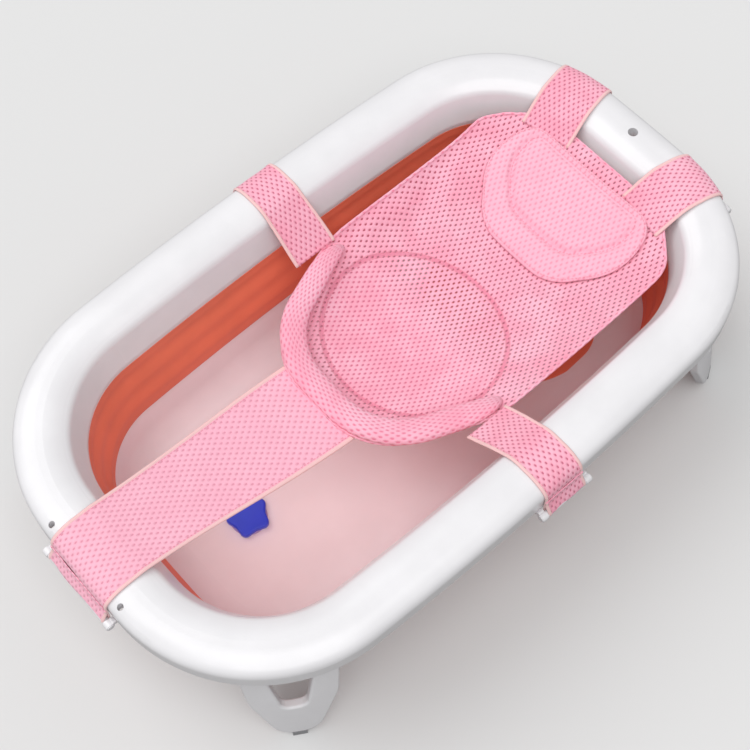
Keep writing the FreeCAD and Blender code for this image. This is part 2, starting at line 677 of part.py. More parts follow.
PILLOW_BACK = NET_BACK - S.pillow_margin
PILLOW_FRONT = PILLOW_BACK - S.pillow_length
pillow_corners = mirrored([(PILLOW_FRONT, S.pillow_front_half, S.pillow_round),
                           (PILLOW_BACK - S.pillow_shoulder, S.pillow_half, S.pillow_round),
                           (PILLOW_BACK, S.pillow_back_half, S.pillow_back_round)])
pillow_layer = sling_layer("pillow_layer", NET_TOP, NET_TOP + number(S.pillow_thick))
pillow_prism = prism("pillow_prism", Drawing("pillow_plan").outline(pillow_corners))
node(common("pillow_trimmed", pillow_layer, pillow_prism), "net_pillow")

# ---------------------------------------------------------------- straps and hook bars
skin_line = section_line("skin_line", crown(S.strap_gap + S.strap_thick))
skin = around("strap_skin", ribbon("skin_section", skin_line, S.strap_thick))
net_hole = prism("net_hole", net_plan("net_hole_plan", S.net_gap))
head_turn = math.radians(number(S.head_strap_turn))
HEAD_OUT = V(math.cos(head_turn), math.sin(head_turn), 0)
HEAD_SPOT = CORNER + HEAD_OUT * number(S.corner_radius)
SIDE_X = number(NET_BACK - S.side_from_back)
FOOT_REACH = HALF_LENGTH + NET_FRONT + S.strap_tuck
SIDE_REACH = S.net_from_side + S.strap_tuck
HEAD_REACH = S.net_from_end + S.strap_tuck
STRAPS = {
    "foot": (V(-number(HALF_LENGTH), 0, 0), 180, S.foot_strap, FOOT_REACH, S.foot_fall),
    "side_near": (V(SIDE_X, -number(HALF_WIDTH), 0), 270, S.side_strap, SIDE_REACH, S.side_fall),
    "side_far": (V(SIDE_X, number(HALF_WIDTH), 0), 90, S.side_strap, SIDE_REACH, S.side_fall),
    "head_near": (V(HEAD_SPOT.x, -HEAD_SPOT.y, 0), -number(S.head_strap_turn), S.head_strap, HEAD_REACH,
                  S.head_fall),
    "head_far": (V(HEAD_SPOT.x, HEAD_SPOT.y, 0), number(S.head_strap_turn), S.head_strap, HEAD_REACH,
                 S.head_fall),
}
PIVOT_Z = S.strap_gap + S.strap_thick
TOP_OF_RIM = V(0, 0, number(S.tub_height))


def strap_frame(name):
    spot, angle = STRAPS[name][:2]
    return turned(spot + TOP_OF_RIM, angle)


def strap_inner(name):
    """The part of a strap that rests on the crown and runs in to the net."""
    spot, angle, width, reach, fall = STRAPS[name]
    frame = strap_frame(name)
    wrap_box = box(f"{name}_wrap_box", (-width / 2, -CROWN_HALF - S.strap_lap, -S.skirt_drop),
                   (width / 2, -S.net_gap / 2, S.skirt_drop), frame)
    wrap = common(f"{name}_wrap", skin, wrap_box)
    run = Drawing(f"{name}_run_side", place=frame.multiply(FreeCAD.Placement(
        V(), FreeCAD.Rotation(V(1, 1, 1), 120)))).outline(
        [(-CROWN_HALF - S.hem_lap, S.strap_gap - S.strap_sink),
         (-CROWN_HALF - S.hem_lap, PIVOT_Z - S.strap_sink),
         (-reach, S.strap_thick - fall), (-reach, -fall)])
    out = frame.Rotation.multVec(X_AXIS)
    run_solid = extrusion(f"{name}_run", run, -width / 2, width / 2, out)
    whole = fuse(f"{name}_whole", wrap, run_solid)
    return node(cut(f"{name}_inner", whole, net_hole), f"strap_{name}")


def strap_outer(name):
    """The part of a strap that drops outside the rim and is hemmed round its hook bar."""
    width = STRAPS[name][2]
    frame = strap_frame(name)
    drop_box = box(f"{name}_drop_box", (-width / 2, S.net_gap / 2, -S.skirt_drop),
                   (width / 2, S.rim_width, S.skirt_drop), frame)
    drop = common(f"{name}_drop", skin, drop_box)
    gap = RIM_HALF + S.strap_gap
    tail = box(f"{name}_tail", (-width / 2, gap, -S.bar_drop),
               (width / 2, gap + S.strap_thick, -S.skirt_drop + S.hem_lap), frame)
    along = frame.Rotation.multVec(X_AXIS)
    start = frame.multVec(V(-number(width) / 2, number(S.bar_out), -number(S.bar_drop)))
    hem = cylinder(f"{name}_hem", S.bar_radius + S.hem_wall, width, start, along)
    bar = cylinder(f"{name}_hem_bore", S.bar_radius, width * 2,
                   frame.multVec(V(-number(width), number(S.bar_out), -number(S.bar_drop))), along)
    whole = fuse(f"{name}_outer_whole", drop, tail, hem)
    return node(cut(f"{name}_outer", whole, bar), f"strap_hem_{name}")


def hook_bar(name):
    """A bar through the hem, with a knob and a claw under the skirt at each end."""
    width = STRAPS[name][2]
    frame = strap_frame(name)
    along = frame.Rotation.multVec(X_AXIS)
    reach = width / 2 + S.bar_end

    def on_bar(tag, radius, low, high):
        start = frame.multVec(V(number(low), number(S.bar_out), -number(S.bar_drop)))
        return cylinder(f"{name}_{tag}", radius, high - low, start, along)

    pieces = [on_bar("bar", S.bar_radius, -reach, reach)]
    corner_reach = math.hypot(number(RIM_HALF), number(S.skirt_drop + PIVOT_Z))
    inner = corner_reach + number(S.claw_clearance)
    bar_angle = math.degrees(math.atan2(number(-S.bar_drop - PIVOT_Z), number(S.bar_out)))
    for sign in (-1, 1):
        tag = "left" if sign < 0 else "right"
        near = width / 2 + S.claw_gap
        far = near + S.claw_width
        low, high = (near, far) if sign > 0 else (-far, -near)
        pieces.append(on_bar(f"knob_{tag}", S.bar_knob, low, high))
        start = frame.multVec(V(number(low), 0, number(PIVOT_Z)))
        sector = bind(doc.addObject("Part::Cylinder", f"{name}_sector_{tag}"), Height=S.claw_width)
        sector.Radius = inner + number(S.claw_thick)
        bind(sector, Angle=S.claw_reach)
        turn = frame.Rotation.multiply(FreeCAD.Rotation(V(1, 1, 1), 120))
        twist = FreeCAD.Rotation(Z_AXIS, bar_angle - number(S.claw_reach))
        sector.Placement = FreeCAD.Placement(start, turn.multiply(twist))
        hollow = cylinder(f"{name}_hollow_{tag}", Size(inner, repr(inner)), S.claw_width * 3,
                          frame.multVec(V(number(low - S.claw_width), 0, number(PIVOT_Z))), along)
        pieces.append(cut(f"{name}_claw_{tag}", sector, hollow))
    return node(fuse(f"{name}_bar_whole", *pieces), f"hook_bar_{name}")


for name in STRAPS:
    strap_inner(name)
    strap_outer(name)
    hook_bar(name)

# ---------------------------------------------------------------- check and write
doc.recompute()
faults = [thing.Name for thing in doc.Objects if {"Invalid", "Error"} & set(thing.State)]
for piece in nodes:
    shape = piece.Shape
    if shape.isNull() or not shape.isValid() or not shape.Solids:
        faults.append(piece.Label)
if faults:
    raise RuntimeError(f"these failed: {faults}")
os.makedirs("parts", exist_ok=True)
for piece in nodes:
    piece.Shape.exportStep(f"parts/{piece.Label}.step")
    print(f"{piece.Label:24s} {len(piece.Shape.Solids)} solids {piece.Shape.Volume:12.0f} mm3")
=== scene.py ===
"""Folding baby bathtub with a hammock net: its finish, cloth and stage over the packed frame."""
import math

import bmesh
import bpy
from bpy.props import FloatProperty, FloatVectorProperty, PointerProperty
from mathutils import Matrix, Vector, noise
from mathutils.bvhtree import BVHTree


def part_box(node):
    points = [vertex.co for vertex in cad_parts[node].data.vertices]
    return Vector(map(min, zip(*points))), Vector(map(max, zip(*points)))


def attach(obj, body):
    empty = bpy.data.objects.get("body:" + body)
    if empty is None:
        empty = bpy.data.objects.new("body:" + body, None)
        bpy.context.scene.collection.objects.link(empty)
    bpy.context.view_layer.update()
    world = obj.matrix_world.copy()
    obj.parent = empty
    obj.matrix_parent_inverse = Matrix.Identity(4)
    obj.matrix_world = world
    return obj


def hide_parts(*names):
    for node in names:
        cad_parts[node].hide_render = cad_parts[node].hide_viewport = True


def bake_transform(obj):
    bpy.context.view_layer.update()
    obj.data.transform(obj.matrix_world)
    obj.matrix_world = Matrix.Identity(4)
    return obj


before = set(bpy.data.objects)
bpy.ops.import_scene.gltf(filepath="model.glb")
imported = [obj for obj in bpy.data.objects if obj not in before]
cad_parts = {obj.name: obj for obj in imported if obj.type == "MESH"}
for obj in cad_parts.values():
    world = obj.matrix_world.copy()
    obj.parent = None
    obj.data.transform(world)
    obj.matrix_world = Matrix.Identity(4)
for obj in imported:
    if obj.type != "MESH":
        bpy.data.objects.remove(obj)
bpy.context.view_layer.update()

bl_info = {
    "name": "Baby Bathtub Finish",
    "version": (1, 0, 0),
    "blender": (4, 5, 0),
    "location": "View3D > Sidebar > Bathtub",
    "description": "Rubber wall, hammock net, straps, stitching and stage of a folding baby bathtub",
    "category": "Object",
}

RIM_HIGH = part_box("rim")[1]
TUB_TOP = RIM_HIGH.z


def length(label, text, default):
    return FloatProperty(name=label, description=text, default=default, unit="LENGTH", precision=4)


def colour(label, text, default):
    return FloatVectorProperty(name=label, description=text, default=default, size=3, subtype="COLOR",
                               min=0, max=1)


class BathtubTub(bpy.types.PropertyGroup):
    """Plan and section of the tub."""

    side_radius: length("Side radius", "Plan radius of a long side", 4.5)
    end_radius: length("End radius", "Plan radius of an end", 2.9)
    corner_radius: length("Corner radius", "Plan radius of a corner at the rim's middle line", 0.157)
    rim_width: length("Rim width", "Width of the rolled rim", 0.060)
    crown_flat: length("Crown flat", "Width between the crown's two corners", 0.028)
    crown_round: length("Crown round", "Radius of the crown's corners", 0.038)
    shoulder_drop: length("Shoulder drop", "Height from crown to shoulder", 0.009)
    shoulder_round: length("Shoulder round", "Radius of the shoulder", 0.012)
    lip_inset: length("Lip inset", "Distance from the middle line in to the lip", 0.042)
    lip_drop: length("Lip drop", "Height from the crown down to the rubber wall", 0.050)
    band_height: length("Wall height", "Height of the rubber wall", 0.090)
    band_lean: length("Wall lean", "How far the rubber wall leans in", 0.013)
    band_wall: length("Wall thickness", "Thickness of the rubber wall", 0.002)
    band_fold: length("Fold depth", "Depth of the soft folds along the rubber wall", 0.0008)


class BathtubNet(bpy.types.PropertyGroup):
    """Hammock net, its roll and its pillow."""

    front: length("Front", "Distance from the tub's middle to the net's foot edge", 0.106)
    back: length("Back", "Distance from the tub's middle to the net's head edge", 0.338)
    half: length("Half width", "Half the width of the net", 0.146)
    cloth: length("Cloth", "Thickness of the doubled mesh", 0.0014)
    lift: length("Lift", "Height of the mesh over the underside of its sling", 0.0022)
    roll_wide: length("Roll width", "Width of the padded roll", 0.036)
    roll_high: length("Roll height", "Height of the padded roll", 0.021)
    roll_end: length("Roll end", "Where each arm of the roll stops", 0.052)
    pillow_high: length("Pillow height", "Thickness of the pillow", 0.013)
    hole_pitch: length("Hole pitch", "Distance between mesh holes across the cloth", 0.0071)
    hole_row: length("Hole row", "Distance between staggered rows of holes", 0.0056)
    hole_wide: length("Hole width", "Width of a mesh hole", 0.0020)
    hole_long: length("Hole length", "Length of a mesh hole", 0.0034)
    seat_at: length("Seat place", "Distance of the seat's middle from the tub's middle", 0.042)
    seat_long: length("Seat length", "Half the length of the oval seat seam", 0.102)
    seat_wide: length("Seat width", "Half the width of the oval seat seam", 0.108)


class BathtubStraps(bpy.types.PropertyGroup):
    """Five straps that hang the net on the rim."""

    foot: length("Foot strap", "Width of the foot strap at the rim", 0.093)
    side: length("Side strap", "Width of a side strap", 0.054)
    side_at: length("Side strap place", "Distance of the side straps from the tub's middle", 0.017)
    head: length("Head strap", "Width of a head strap", 0.066)
    head_turn: FloatProperty(name="Head strap turn", subtype="ANGLE", default=math.radians(11),
                             description="Angle of a head strap from the tub's length")
    gap: length("Gap", "Clearance between strap and rim", 0.0012)
    cloth: length("Cloth", "Thickness of the strap", 0.0013)
    piping: length("Piping", "Width of the bound edge", 0.0038)
    bar_out: length("Bar out", "Distance of the hook bar from the rim's middle line", 0.0375)
    bar_drop: length("Bar drop", "Height of the hook bar below the crown", 0.040)
    hem_round: length("Hem round", "Radius of the hem round the bar", 0.0050)


class BathtubStitches(bpy.types.PropertyGroup):
    """Thread of every seam."""

    pitch: length("Pitch", "Distance between stitches", 0.0042)
    long: length("Length", "Length of one stitch", 0.0030)
    thick: length("Thickness", "Thickness of the thread", 0.0009)


class BathtubColours(bpy.types.PropertyGroup):
    """Colours of the finishes."""

    shell: colour("Shell", "Moulded rim and legs", (0.81, 0.80, 0.82))
    coral: colour("Coral", "Rubber wall and floor pad", (1.0, 0.23, 0.125))
    blush: colour("Blush", "Basin", (0.98, 0.87, 0.89))
    star: colour("Star", "Drain plug", (0.030, 0.070, 0.82))
    lilac: colour("Lilac", "Plug seal", (0.55, 0.38, 0.66))
    net: colour("Net", "Mesh cloth", (0.95, 0.28, 0.41))
    # Painted highlight on the raised threads of the mesh; the light option also mixes whole cloths toward
    # this colour.
    net_highlight: colour("Net light", "Raised threads of the mesh", (0.98, 0.49, 0.62))
    # Lining colour under the mesh holes, also used as painted shade in the holes and in the seat seam's
    # crease.
    net_lining_and_shade: colour("Net deep", "Lining under the mesh holes", (0.74, 0.17, 0.28))
    piping: colour("Piping", "Bound strap edges", (0.97, 0.60, 0.60))
    thread: colour("Thread", "Stitches", (0.86, 0.30, 0.40))
    steel: colour("Steel", "Leg pins", (0.60, 0.60, 0.62))
    rubber: colour("Rubber", "Feet", (0.30, 0.30, 0.31))
    floor: colour("Floor", "Studio floor", (0.695, 0.695, 0.695))


class BathtubStage(bpy.types.PropertyGroup):
    """Lamps and camera."""

    lens: FloatProperty(name="Lens", description="Focal length in millimetres", default=65.57)
    lamp: FloatProperty(name="Lamp", description="Strength of the main lamp", default=1.20)
    fill: FloatProperty(name="Fill", description="Strength of the lamp beside the camera", default=1.42)
    sky: FloatProperty(name="Sky", description="Strength of the even light from all round", default=0.42)
    softness: FloatProperty(name="Softness", description="Angle that the main lamp fills",
                            default=math.radians(50), subtype="ANGLE")


GROUPS = {"bathtub_tub": BathtubTub, "bathtub_net": BathtubNet, "bathtub_straps": BathtubStraps,
          "bathtub_stitches": BathtubStitches, "bathtub_colours": BathtubColours,
          "bathtub_stage": BathtubStage}


# ---------------------------------------------------------------- node trees
def sums(operation, swap=False):
    """A method of Wire that adds one Math node."""
    def method(self, *others):
        return self.maths(operation, *((*others, self) if swap else (self, *others)))
    return method


class Wire:
    """A socket that adds Math nodes when it is used in a sum."""

    __add__ = __radd__ = sums("ADD")
    __sub__, __rsub__ = sums("SUBTRACT"), sums("SUBTRACT", swap=True)
    __mul__ = __rmul__ = sums("MULTIPLY")
    __truediv__, __pow__, __gt__ = sums("DIVIDE"), sums("POWER"), sums("GREATER_THAN")
    whole, part, size = sums("ROUND"), sums("FRACT"), sums("ABSOLUTE")
    sine, root, most = sums("SINE"), sums("SQRT"), sums("MAXIMUM")

    def __init__(self, tree, socket):
        self.tree = tree
        self.socket = socket

    def __neg__(self):
        return self * -1.0

    def maths(self, operation, *terms):
        return wire(self.tree, "ShaderNodeMath", {"operation": operation}, dict(enumerate(terms)))

    def ramp(self, low, high):
        """0 below low, 1 above high, smooth between."""
        return wire(self.tree, "ShaderNodeMapRange", {"interpolation_type": "SMOOTHSTEP"},
                    {"Value": self, "From Min": low, "From Max": high})


def wire(tree, kind, settings=None, inputs=None, output=0):
    """Add a node with its settings and its sockets' values or links, and give one of its outputs."""
    node = tree.nodes.new(kind)
    for name, value in (settings or {}).items():
        setattr(node, name, value)
    for key, value in (inputs or {}).items():
        socket = node.inputs[key]
        if isinstance(value, Wire):
            tree.links.new(value.socket, socket)
        elif socket.type == "RGBA":
            socket.default_value = (*value[:3], 1.0)
        else:
            socket.default_value = value
    return Wire(tree, node.outputs[output])


class Finish:
    """A material under construction."""

    def __init__(self, name, **constants):
        self.material = bpy.data.materials.new(name)
        self.material.use_nodes = True
        self.tree = self.material.node_tree
        self.shader = self.tree.nodes["Principled BSDF"]
        for socket, value in constants.items():
            self.shader.inputs[socket.replace("_", " ").title().replace("Ior", "IOR")].default_value = value

    def node(self, kind, settings=None, inputs=None, output=0):
        return wire(self.tree, kind, settings, inputs, output)

    def place(self, scale=(1.0, 1.0, 1.0)):
        spot = self.node("ShaderNodeTexCoord", output="Object")
        return self.node("ShaderNodeMapping", None, {"Vector": spot, "Scale": scale})

    def cloth(self):
        """Across and along the cloth, in metres."""
        spot = self.node("ShaderNodeUVMap", {"uv_map": "cloth"})
        return [self.node("ShaderNodeSeparateXYZ", None, {0: spot}, i) for i in (0, 1)]

    def noise(self, scale, detail=3.0, rough=0.5, spot=None):
        return self.node("ShaderNodeTexNoise", None, {"Vector": spot or self.place(), "Scale": scale,
                                                      "Detail": detail, "Roughness": rough})

    def mix(self, share, first, second):
        """One colour into another."""
        return self.node("ShaderNodeMix", {"data_type": "RGBA"}, {0: share, 6: first, 7: second}, 2)

    def bump(self, height, distance, strength=1.0, below=None):
        sockets = {"Height": height, "Distance": distance, "Strength": strength}
        if below:
            sockets["Normal"] = below
        return self.node("ShaderNodeBump", None, sockets)

    def feed(self, **sockets):
        for name, value in sockets.items():
            self.tree.links.new(value.socket, self.shader.inputs[name.replace("_", " ").title()])
        return self.material


def tint(shade, factor):
    """A colour made lighter or darker."""
    return tuple(min(1.0, c * factor) for c in shade)


# ---------------------------------------------------------------- finishes
def moulded(name, shade, rough, grain=900.0, depth=0.00003, coat=0.0, mottle=0.04):
    """Injection-moulded plastic: faint flow marks, fine spark grain and handling scuffs."""
    finish = Finish(name, coat_weight=coat, coat_roughness=0.18, ior=1.49)
    flow = finish.noise(14.0, 4.0, 0.55)
    scuff = finish.noise(60.0, 6.0, 0.65, finish.place((1.0, 0.25, 1.0))).ramp(0.62, 0.78)
    body = finish.mix(flow.ramp(0.3, 0.75), tint(shade, 1.0 - mottle), tint(shade, 1.0 + mottle / 2))
    body = finish.mix(scuff * 0.18, body, tint(shade, 0.90))
    fine = finish.noise(grain, 2.0, 0.5)
    wave = finish.noise(22.0, 2.0, 0.4)
    normal = finish.bump(fine, depth, 0.5, finish.bump(wave, 0.0004, 0.25))
    return finish.feed(base_color=body, roughness=rough + flow * 0.06 + scuff * 0.10, normal=normal)


def rubbery(name, shade, deep, rough=0.55):
    """Soft thermoplastic rubber: satin, slightly mottled, with a faint bloom."""
    finish = Finish(name, ior=1.50)
    cloud = finish.noise(9.0, 4.0, 0.6)
    bloom = finish.noise(45.0, 5.0, 0.6).ramp(0.5, 0.8)
    body = finish.mix(cloud.ramp(0.3, 0.7), deep, shade)
    body = finish.mix(bloom * 0.10, body, tint(shade, 1.25))
    grain = finish.noise(1400.0, 2.0, 0.5)
    soft = finish.noise(30.0, 2.0, 0.5)
    normal = finish.bump(grain, 0.00004, 0.5, finish.bump(soft, 0.0005, 0.22))
    return finish.feed(base_color=body, roughness=rough + bloom * 0.08, normal=normal)


def metal(name, shade):
    """Drawn steel wire."""
    finish = Finish(name, metallic=1.0)
    drawn = finish.noise(300.0, 3.0, 0.6, finish.place((6.0, 6.0, 0.4)))
    body = finish.mix(drawn, tint(shade, 0.85), shade)
    return finish.feed(base_color=body, roughness=0.26 + drawn * 0.14,
                       normal=finish.bump(drawn, 0.00003, 0.4))


def knit(name, net, colours, openness=0.0, fine=1.0, light=0.0, depth=0.7, seat=False):
    """Knitted mesh cloth: staggered oval holes between raised loops of thread.

    openness: how clear a hole is; fine: scale of the mesh; light: how far the cloth is mixed toward the
    highlight colour;
    depth: how much lining colour and painted shade a hole gets; seat: with the oval seam, its painted
    crease shade and the thinner mesh behind it.
    """
    finish = Finish(name, roughness=0.85, sheen_weight=0.25, sheen_roughness=0.5)
    across, along = finish.cloth()
    row = along / (net.hole_row * fine)
    row_at = row.whole()
    column = across / (net.hole_pitch * fine) + (row_at * 0.5).part()
    du = (column - column.whole()) * net.hole_pitch * fine
    dv = (row - row_at) * net.hole_row * fine
    reach = ((du / (net.hole_wide * fine / 2)) ** 2.0 + (dv / (net.hole_long * fine / 2)) ** 2.0).root()
    hole = 1.0 - reach.ramp(0.78, 1.15)
    # shoulder: the raised threads round each hole, used for the bump and for the painted highlight.
    shoulder = reach.ramp(0.95, 2.0)
    yarn = ((across + along * 0.8) * 5200.0).sine() * ((across - along * 0.8) * 5200.0).sine()
    cloud = finish.noise(26.0, 3.0, 0.55)
    loop = reach.ramp(0.9, 1.25) * (1.0 - reach.ramp(1.3, 1.9))
    # Painted highlight: the raised threads between the holes turn to the highlight colour, and the hole
    # edges keep the plain net colour.
    body = finish.mix(shoulder, colours.net, colours.net_highlight)
    # Painted highlight: a pale ring on the loops round each hole, as if lit.
    body = finish.mix(loop * 0.35, body, (1.0, 0.72, 0.84))
    body = finish.mix(cloud.ramp(0.25, 0.75) * 0.6, body, colours.net)
    if light:
        body = finish.mix(cloud * 0.2 + light, body, colours.net_highlight)
    # Painted highlight on the crossing yarn of the knit; yarn also sets the bump.
    body = finish.mix(yarn.ramp(-0.2, 0.9) * 0.14, body, (1.0, 0.78, 0.84))
    height = shoulder + yarn * 0.10
    if seat:
        spot = finish.place()
        x, y = [finish.node("ShaderNodeSeparateXYZ", None, {0: spot}, i) for i in (0, 1)]
        seam = (((x - net.seat_at) / net.seat_long) ** 2.0 + (y / net.seat_wide) ** 2.0).root()
        # line: the seat seam's crease, a groove in the bump and painted shade in the colour.
        line = 1.0 - (seam - 1.0).size().ramp(0.008, 0.034)
        body = finish.mix(line * 0.55, body, colours.net_lining_and_shade)
        height = height - line * 1.6
        inside = 1.0 - seam.ramp(0.94, 1.0)
        openness = 0.60 + inside * (x.ramp(0.055, 0.095) * 0.84 - 0.46)
    normal = finish.bump(height, 0.0007, 0.8)
    # Holes get the lining colour with painted shade in the recess, as much as depth asks.
    body = finish.mix(hole * depth, body, colours.net_lining_and_shade)
    if not openness:
        return finish.feed(base_color=body, normal=normal)
    return finish.feed(base_color=body, normal=normal, alpha=1.0 - hole * openness)


def bound(name, shade):
    """Folded binding tape: fine ribs across the edge."""
    finish = Finish(name, roughness=0.8, sheen_weight=0.3)
    rib = (finish.cloth()[1] * 4200.0).sine()
    cloud = finish.noise(70.0, 3.0, 0.5)
    body = finish.mix(rib.ramp(-1.0, 1.0) * 0.5 + cloud * 0.3, tint(shade, 0.86), tint(shade, 1.06))
    return finish.feed(base_color=body, normal=finish.bump(rib, 0.00015, 0.6))


def spun(name, shade):
    """Sewing thread with a twist."""
    finish = Finish(name, roughness=0.6, sheen_weight=0.3)
    twist = finish.noise(1800.0, 2.0, 0.5, finish.place((1.0, 2.5, 1.0)))
    return finish.feed(base_color=finish.mix(twist, tint(shade, 0.8), tint(shade, 1.12)),
                       normal=finish.bump(twist, 0.0001, 0.5))


def studio_floor(shade):
    """Even paper: its full shade to the camera, less of it in the light that it throws back."""
    finish = Finish("studio_floor", roughness=0.9, specular_ior_level=0.1)
    paper = finish.noise(3.0, 4.0, 0.5)
    seen = finish.node("ShaderNodeLightPath", output="Is Camera Ray")
    paper = finish.mix(paper, tint(shade, 0.995), tint(shade, 1.005))
    return finish.feed(base_color=finish.mix(seen, tint(shade, 0.5), paper))


def made(name, builder, *details, **options):
    """The material of that name, built on its first use."""
    return bpy.data.materials.get(name) or builder(name, *details, **options)


def coral_rubber(shades):
    """The rubber that the wall and the floor pad share."""
    return made("coral_rubber", rubbery, shades.coral, tint(shades.coral, 0.88))


# ---------------------------------------------------------------- plan, section and sling
def smooth(t):
    """0 to 1 with soft ends."""
    t = min(1.0, max(0.0, t))
    return t * t * (3.0 - 2.0 * t)


def half_length():
    return RIM_HIGH.x - bpy.context.scene.bathtub_tub.rim_width / 2


def half_width():
    return RIM_HIGH.y - bpy.context.scene.bathtub_tub.rim_width / 2


def corner_centre():
    """Centre of the plan's corner arc in the +X +Y quarter."""
    tub = bpy.context.scene.bathtub_tub
    side = Vector((0.0, half_width() - tub.side_radius))
    end = Vector((half_length() - tub.end_radius, 0.0))
    from_side, from_end = tub.side_radius - tub.corner_radius, tub.end_radius - tub.corner_radius
    line = end - side
    along = (line.length_squared + from_side ** 2 - from_end ** 2) / (2 * line.length)
    across = math.sqrt(from_side ** 2 - along ** 2)
    ahead = line.normalized()
    spots = [side + ahead * along + Vector((-ahead.y, ahead.x)) * across * sign for sign in (1, -1)]
    return max(spots, key=lambda spot: spot.x + spot.y)


def plan(spacing=0.008):
    """Points and outward directions round the rim's middle line, anticlockwise."""
    tub = bpy.context.scene.bathtub_tub
    corner = corner_centre()
    end_x, side_y = half_length() - tub.end_radius, half_width() - tub.side_radius
    at_end = math.atan2(corner.y, corner.x - end_x)
    at_side = math.atan2(corner.y - side_y, corner.x)
    turns = [(end_x, 0, tub.end_radius, -at_end, at_end),
             (corner.x, corner.y, tub.corner_radius, at_end, at_side),
             (0, side_y, tub.side_radius, at_side, math.pi - at_side),
             (-corner.x, corner.y, tub.corner_radius, math.pi - at_side, math.pi - at_end),
             (-end_x, 0, tub.end_radius, math.pi - at_end, math.pi + at_end),
             (-corner.x, -corner.y, tub.corner_radius, math.pi + at_end, math.pi + at_side),
             (0, -side_y, tub.side_radius, math.pi + at_side, math.tau - at_side),
             (corner.x, -corner.y, tub.corner_radius, math.tau - at_side, math.tau - at_end)]
    spots = []
    for x, y, radius, start, finish in turns:
        steps = max(3, round(radius * (finish - start) / spacing))
        for i in range(steps):
            angle = start + (finish - start) * i / steps
            out = Vector((math.cos(angle), math.sin(angle), 0))
            spots.append((Vector((x, y, 0)) + out * radius, out))
    return spots


def rounded(corners, spacing, closed=False):
    """Points along straight runs whose corners (x, y, radius) are rounded."""
    count = len(corners)
    spots = [Vector(corner[:2]) for corner in corners]
    path = []
    for i, corner in enumerate(corners):
        if len(corner) < 3:
            path.append(spots[i])
            continue
        back = (spots[i - 1] - spots[i]).normalized()
        ahead = (spots[(i + 1) % count] - spots[i]).normalized()
        half = back.angle(ahead) / 2
        centre = spots[i] + (back + ahead).normalized() * (corner[2] / math.sin(half))
        first = spots[i] + back * (corner[2] / math.tan(half)) - centre
        last = spots[i] + ahead * (corner[2] / math.tan(half)) - centre
        start = math.atan2(first.y, first.x)
        turn = (math.atan2(last.y, last.x) - start + math.pi) % math.tau - math.pi
        steps = max(2, math.ceil(corner[2] * abs(turn) / spacing))
        for step in range(steps + 1):
            angle = start + turn * step / steps
            path.append(centre + Vector((math.cos(angle), math.sin(angle))) * corner[2])
    return spread(path, spacing, closed)


def spread(path, spacing, closed=False):
    """The same path with even steps."""
    path = [p for i, p in enumerate(path) if i == 0 or (p - path[i - 1]).length > 1e-7]
    if closed:
        path = path + [path[0]]
    runs = [(b - a).length for a, b in zip(path, path[1:])]
    total = sum(runs)
    steps = max(2, round(total / spacing))
    result, i, done = [], 0, 0.0
    for step in range(steps if closed else steps + 1):
        want = total * step / steps
        while i < len(runs) - 1 and done + runs[i] < want:
            done += runs[i]
            i += 1
        result.append(path[i].lerp(path[i + 1], min(1.0, (want - done) / runs[i])))
    return result


def crown_line(gap):
    """The rim's section from the inner shoulder over the crown and down the skirt: (out, up)."""
    tub = bpy.context.scene.bathtub_tub
    half, flat = tub.rim_width / 2, tub.crown_flat / 2
    return [(-flat - gap / 4, gap, tub.crown_round + gap), (flat + gap / 4, gap, tub.crown_round + gap),
            (half + gap, -tub.shoulder_drop + gap / 2, tub.shoulder_round + gap)]


# Stations of the sling along the tub: place, height of its edge, height of its middle.
SLING = [(-0.115, 0.186, 0.166), (-0.060, 0.184, 0.148), (0.020, 0.182, 0.131), (0.120, 0.183, 0.127),
         (0.210, 0.186, 0.140), (0.285, 0.192, 0.166), (0.325, 0.198, 0.191), (0.350, 0.201, 0.198)]
SLING_SPAN = 0.160


def along_sling(x, column):
    """One of the sling's two heights at x, smoothly between its stations."""
    i = max(1, min(len(SLING) - 2, sum(1 for row in SLING if row[0] <= x)))
    left, right = SLING[i - 1], SLING[i]
    before, after = SLING[max(0, i - 2)], SLING[i + 1]
    t = (x - left[0]) / (right[0] - left[0])
    t = min(1.2, max(-0.2, t))
    wide = right[0] - left[0]
    slope_left = (right[column] - before[column]) / (right[0] - before[0]) * wide
    slope_right = (after[column] - left[column]) / (after[0] - left[0]) * wide
    a, b = left[column], right[column]
    return ((2 * t ** 3 - 3 * t ** 2 + 1) * a + (t ** 3 - 2 * t ** 2 + t) * slope_left
            + (3 * t ** 2 - 2 * t ** 3) * b + (t ** 3 - t ** 2) * slope_right)


def sling(x, y):
    """Height of the hammock's underside."""
    edge, middle = along_sling(x, 1), along_sling(x, 2)
    sag = edge - middle
    radius = (SLING_SPAN ** 2 + sag ** 2) / (2 * sag)
    return middle + radius - math.sqrt(max(1e-9, radius ** 2 - min(abs(y), SLING_SPAN) ** 2))


def both_sides(half):
    """A closed outline that is the same on both sides of the tub's long axis."""
    return [(x, -y, *rest) for x, y, *rest in half] + half[::-1]


def net_outline(grow=0.0, spacing=0.004):
    net = bpy.context.scene.bathtub_net
    edge, front, back = net.half + grow, net.front + grow, net.back + grow
    return rounded(both_sides([(-front, 0.080, 0.090), (0.030, edge, 0.150), (0.290, edge, 0.046),
                               (back, 0.090 + grow / 2, 0.046)]), spacing, closed=True)


# ---------------------------------------------------------------- mesh helpers
def linked(name, points, edges, faces):
    """A mesh object in the scene."""
    mesh = bpy.data.meshes.new(name)
    mesh.from_pydata([tuple(p) for p in points], edges, faces)
    piece = bpy.data.objects.new(name, mesh)
    bpy.context.scene.collection.objects.link(piece)
    return piece


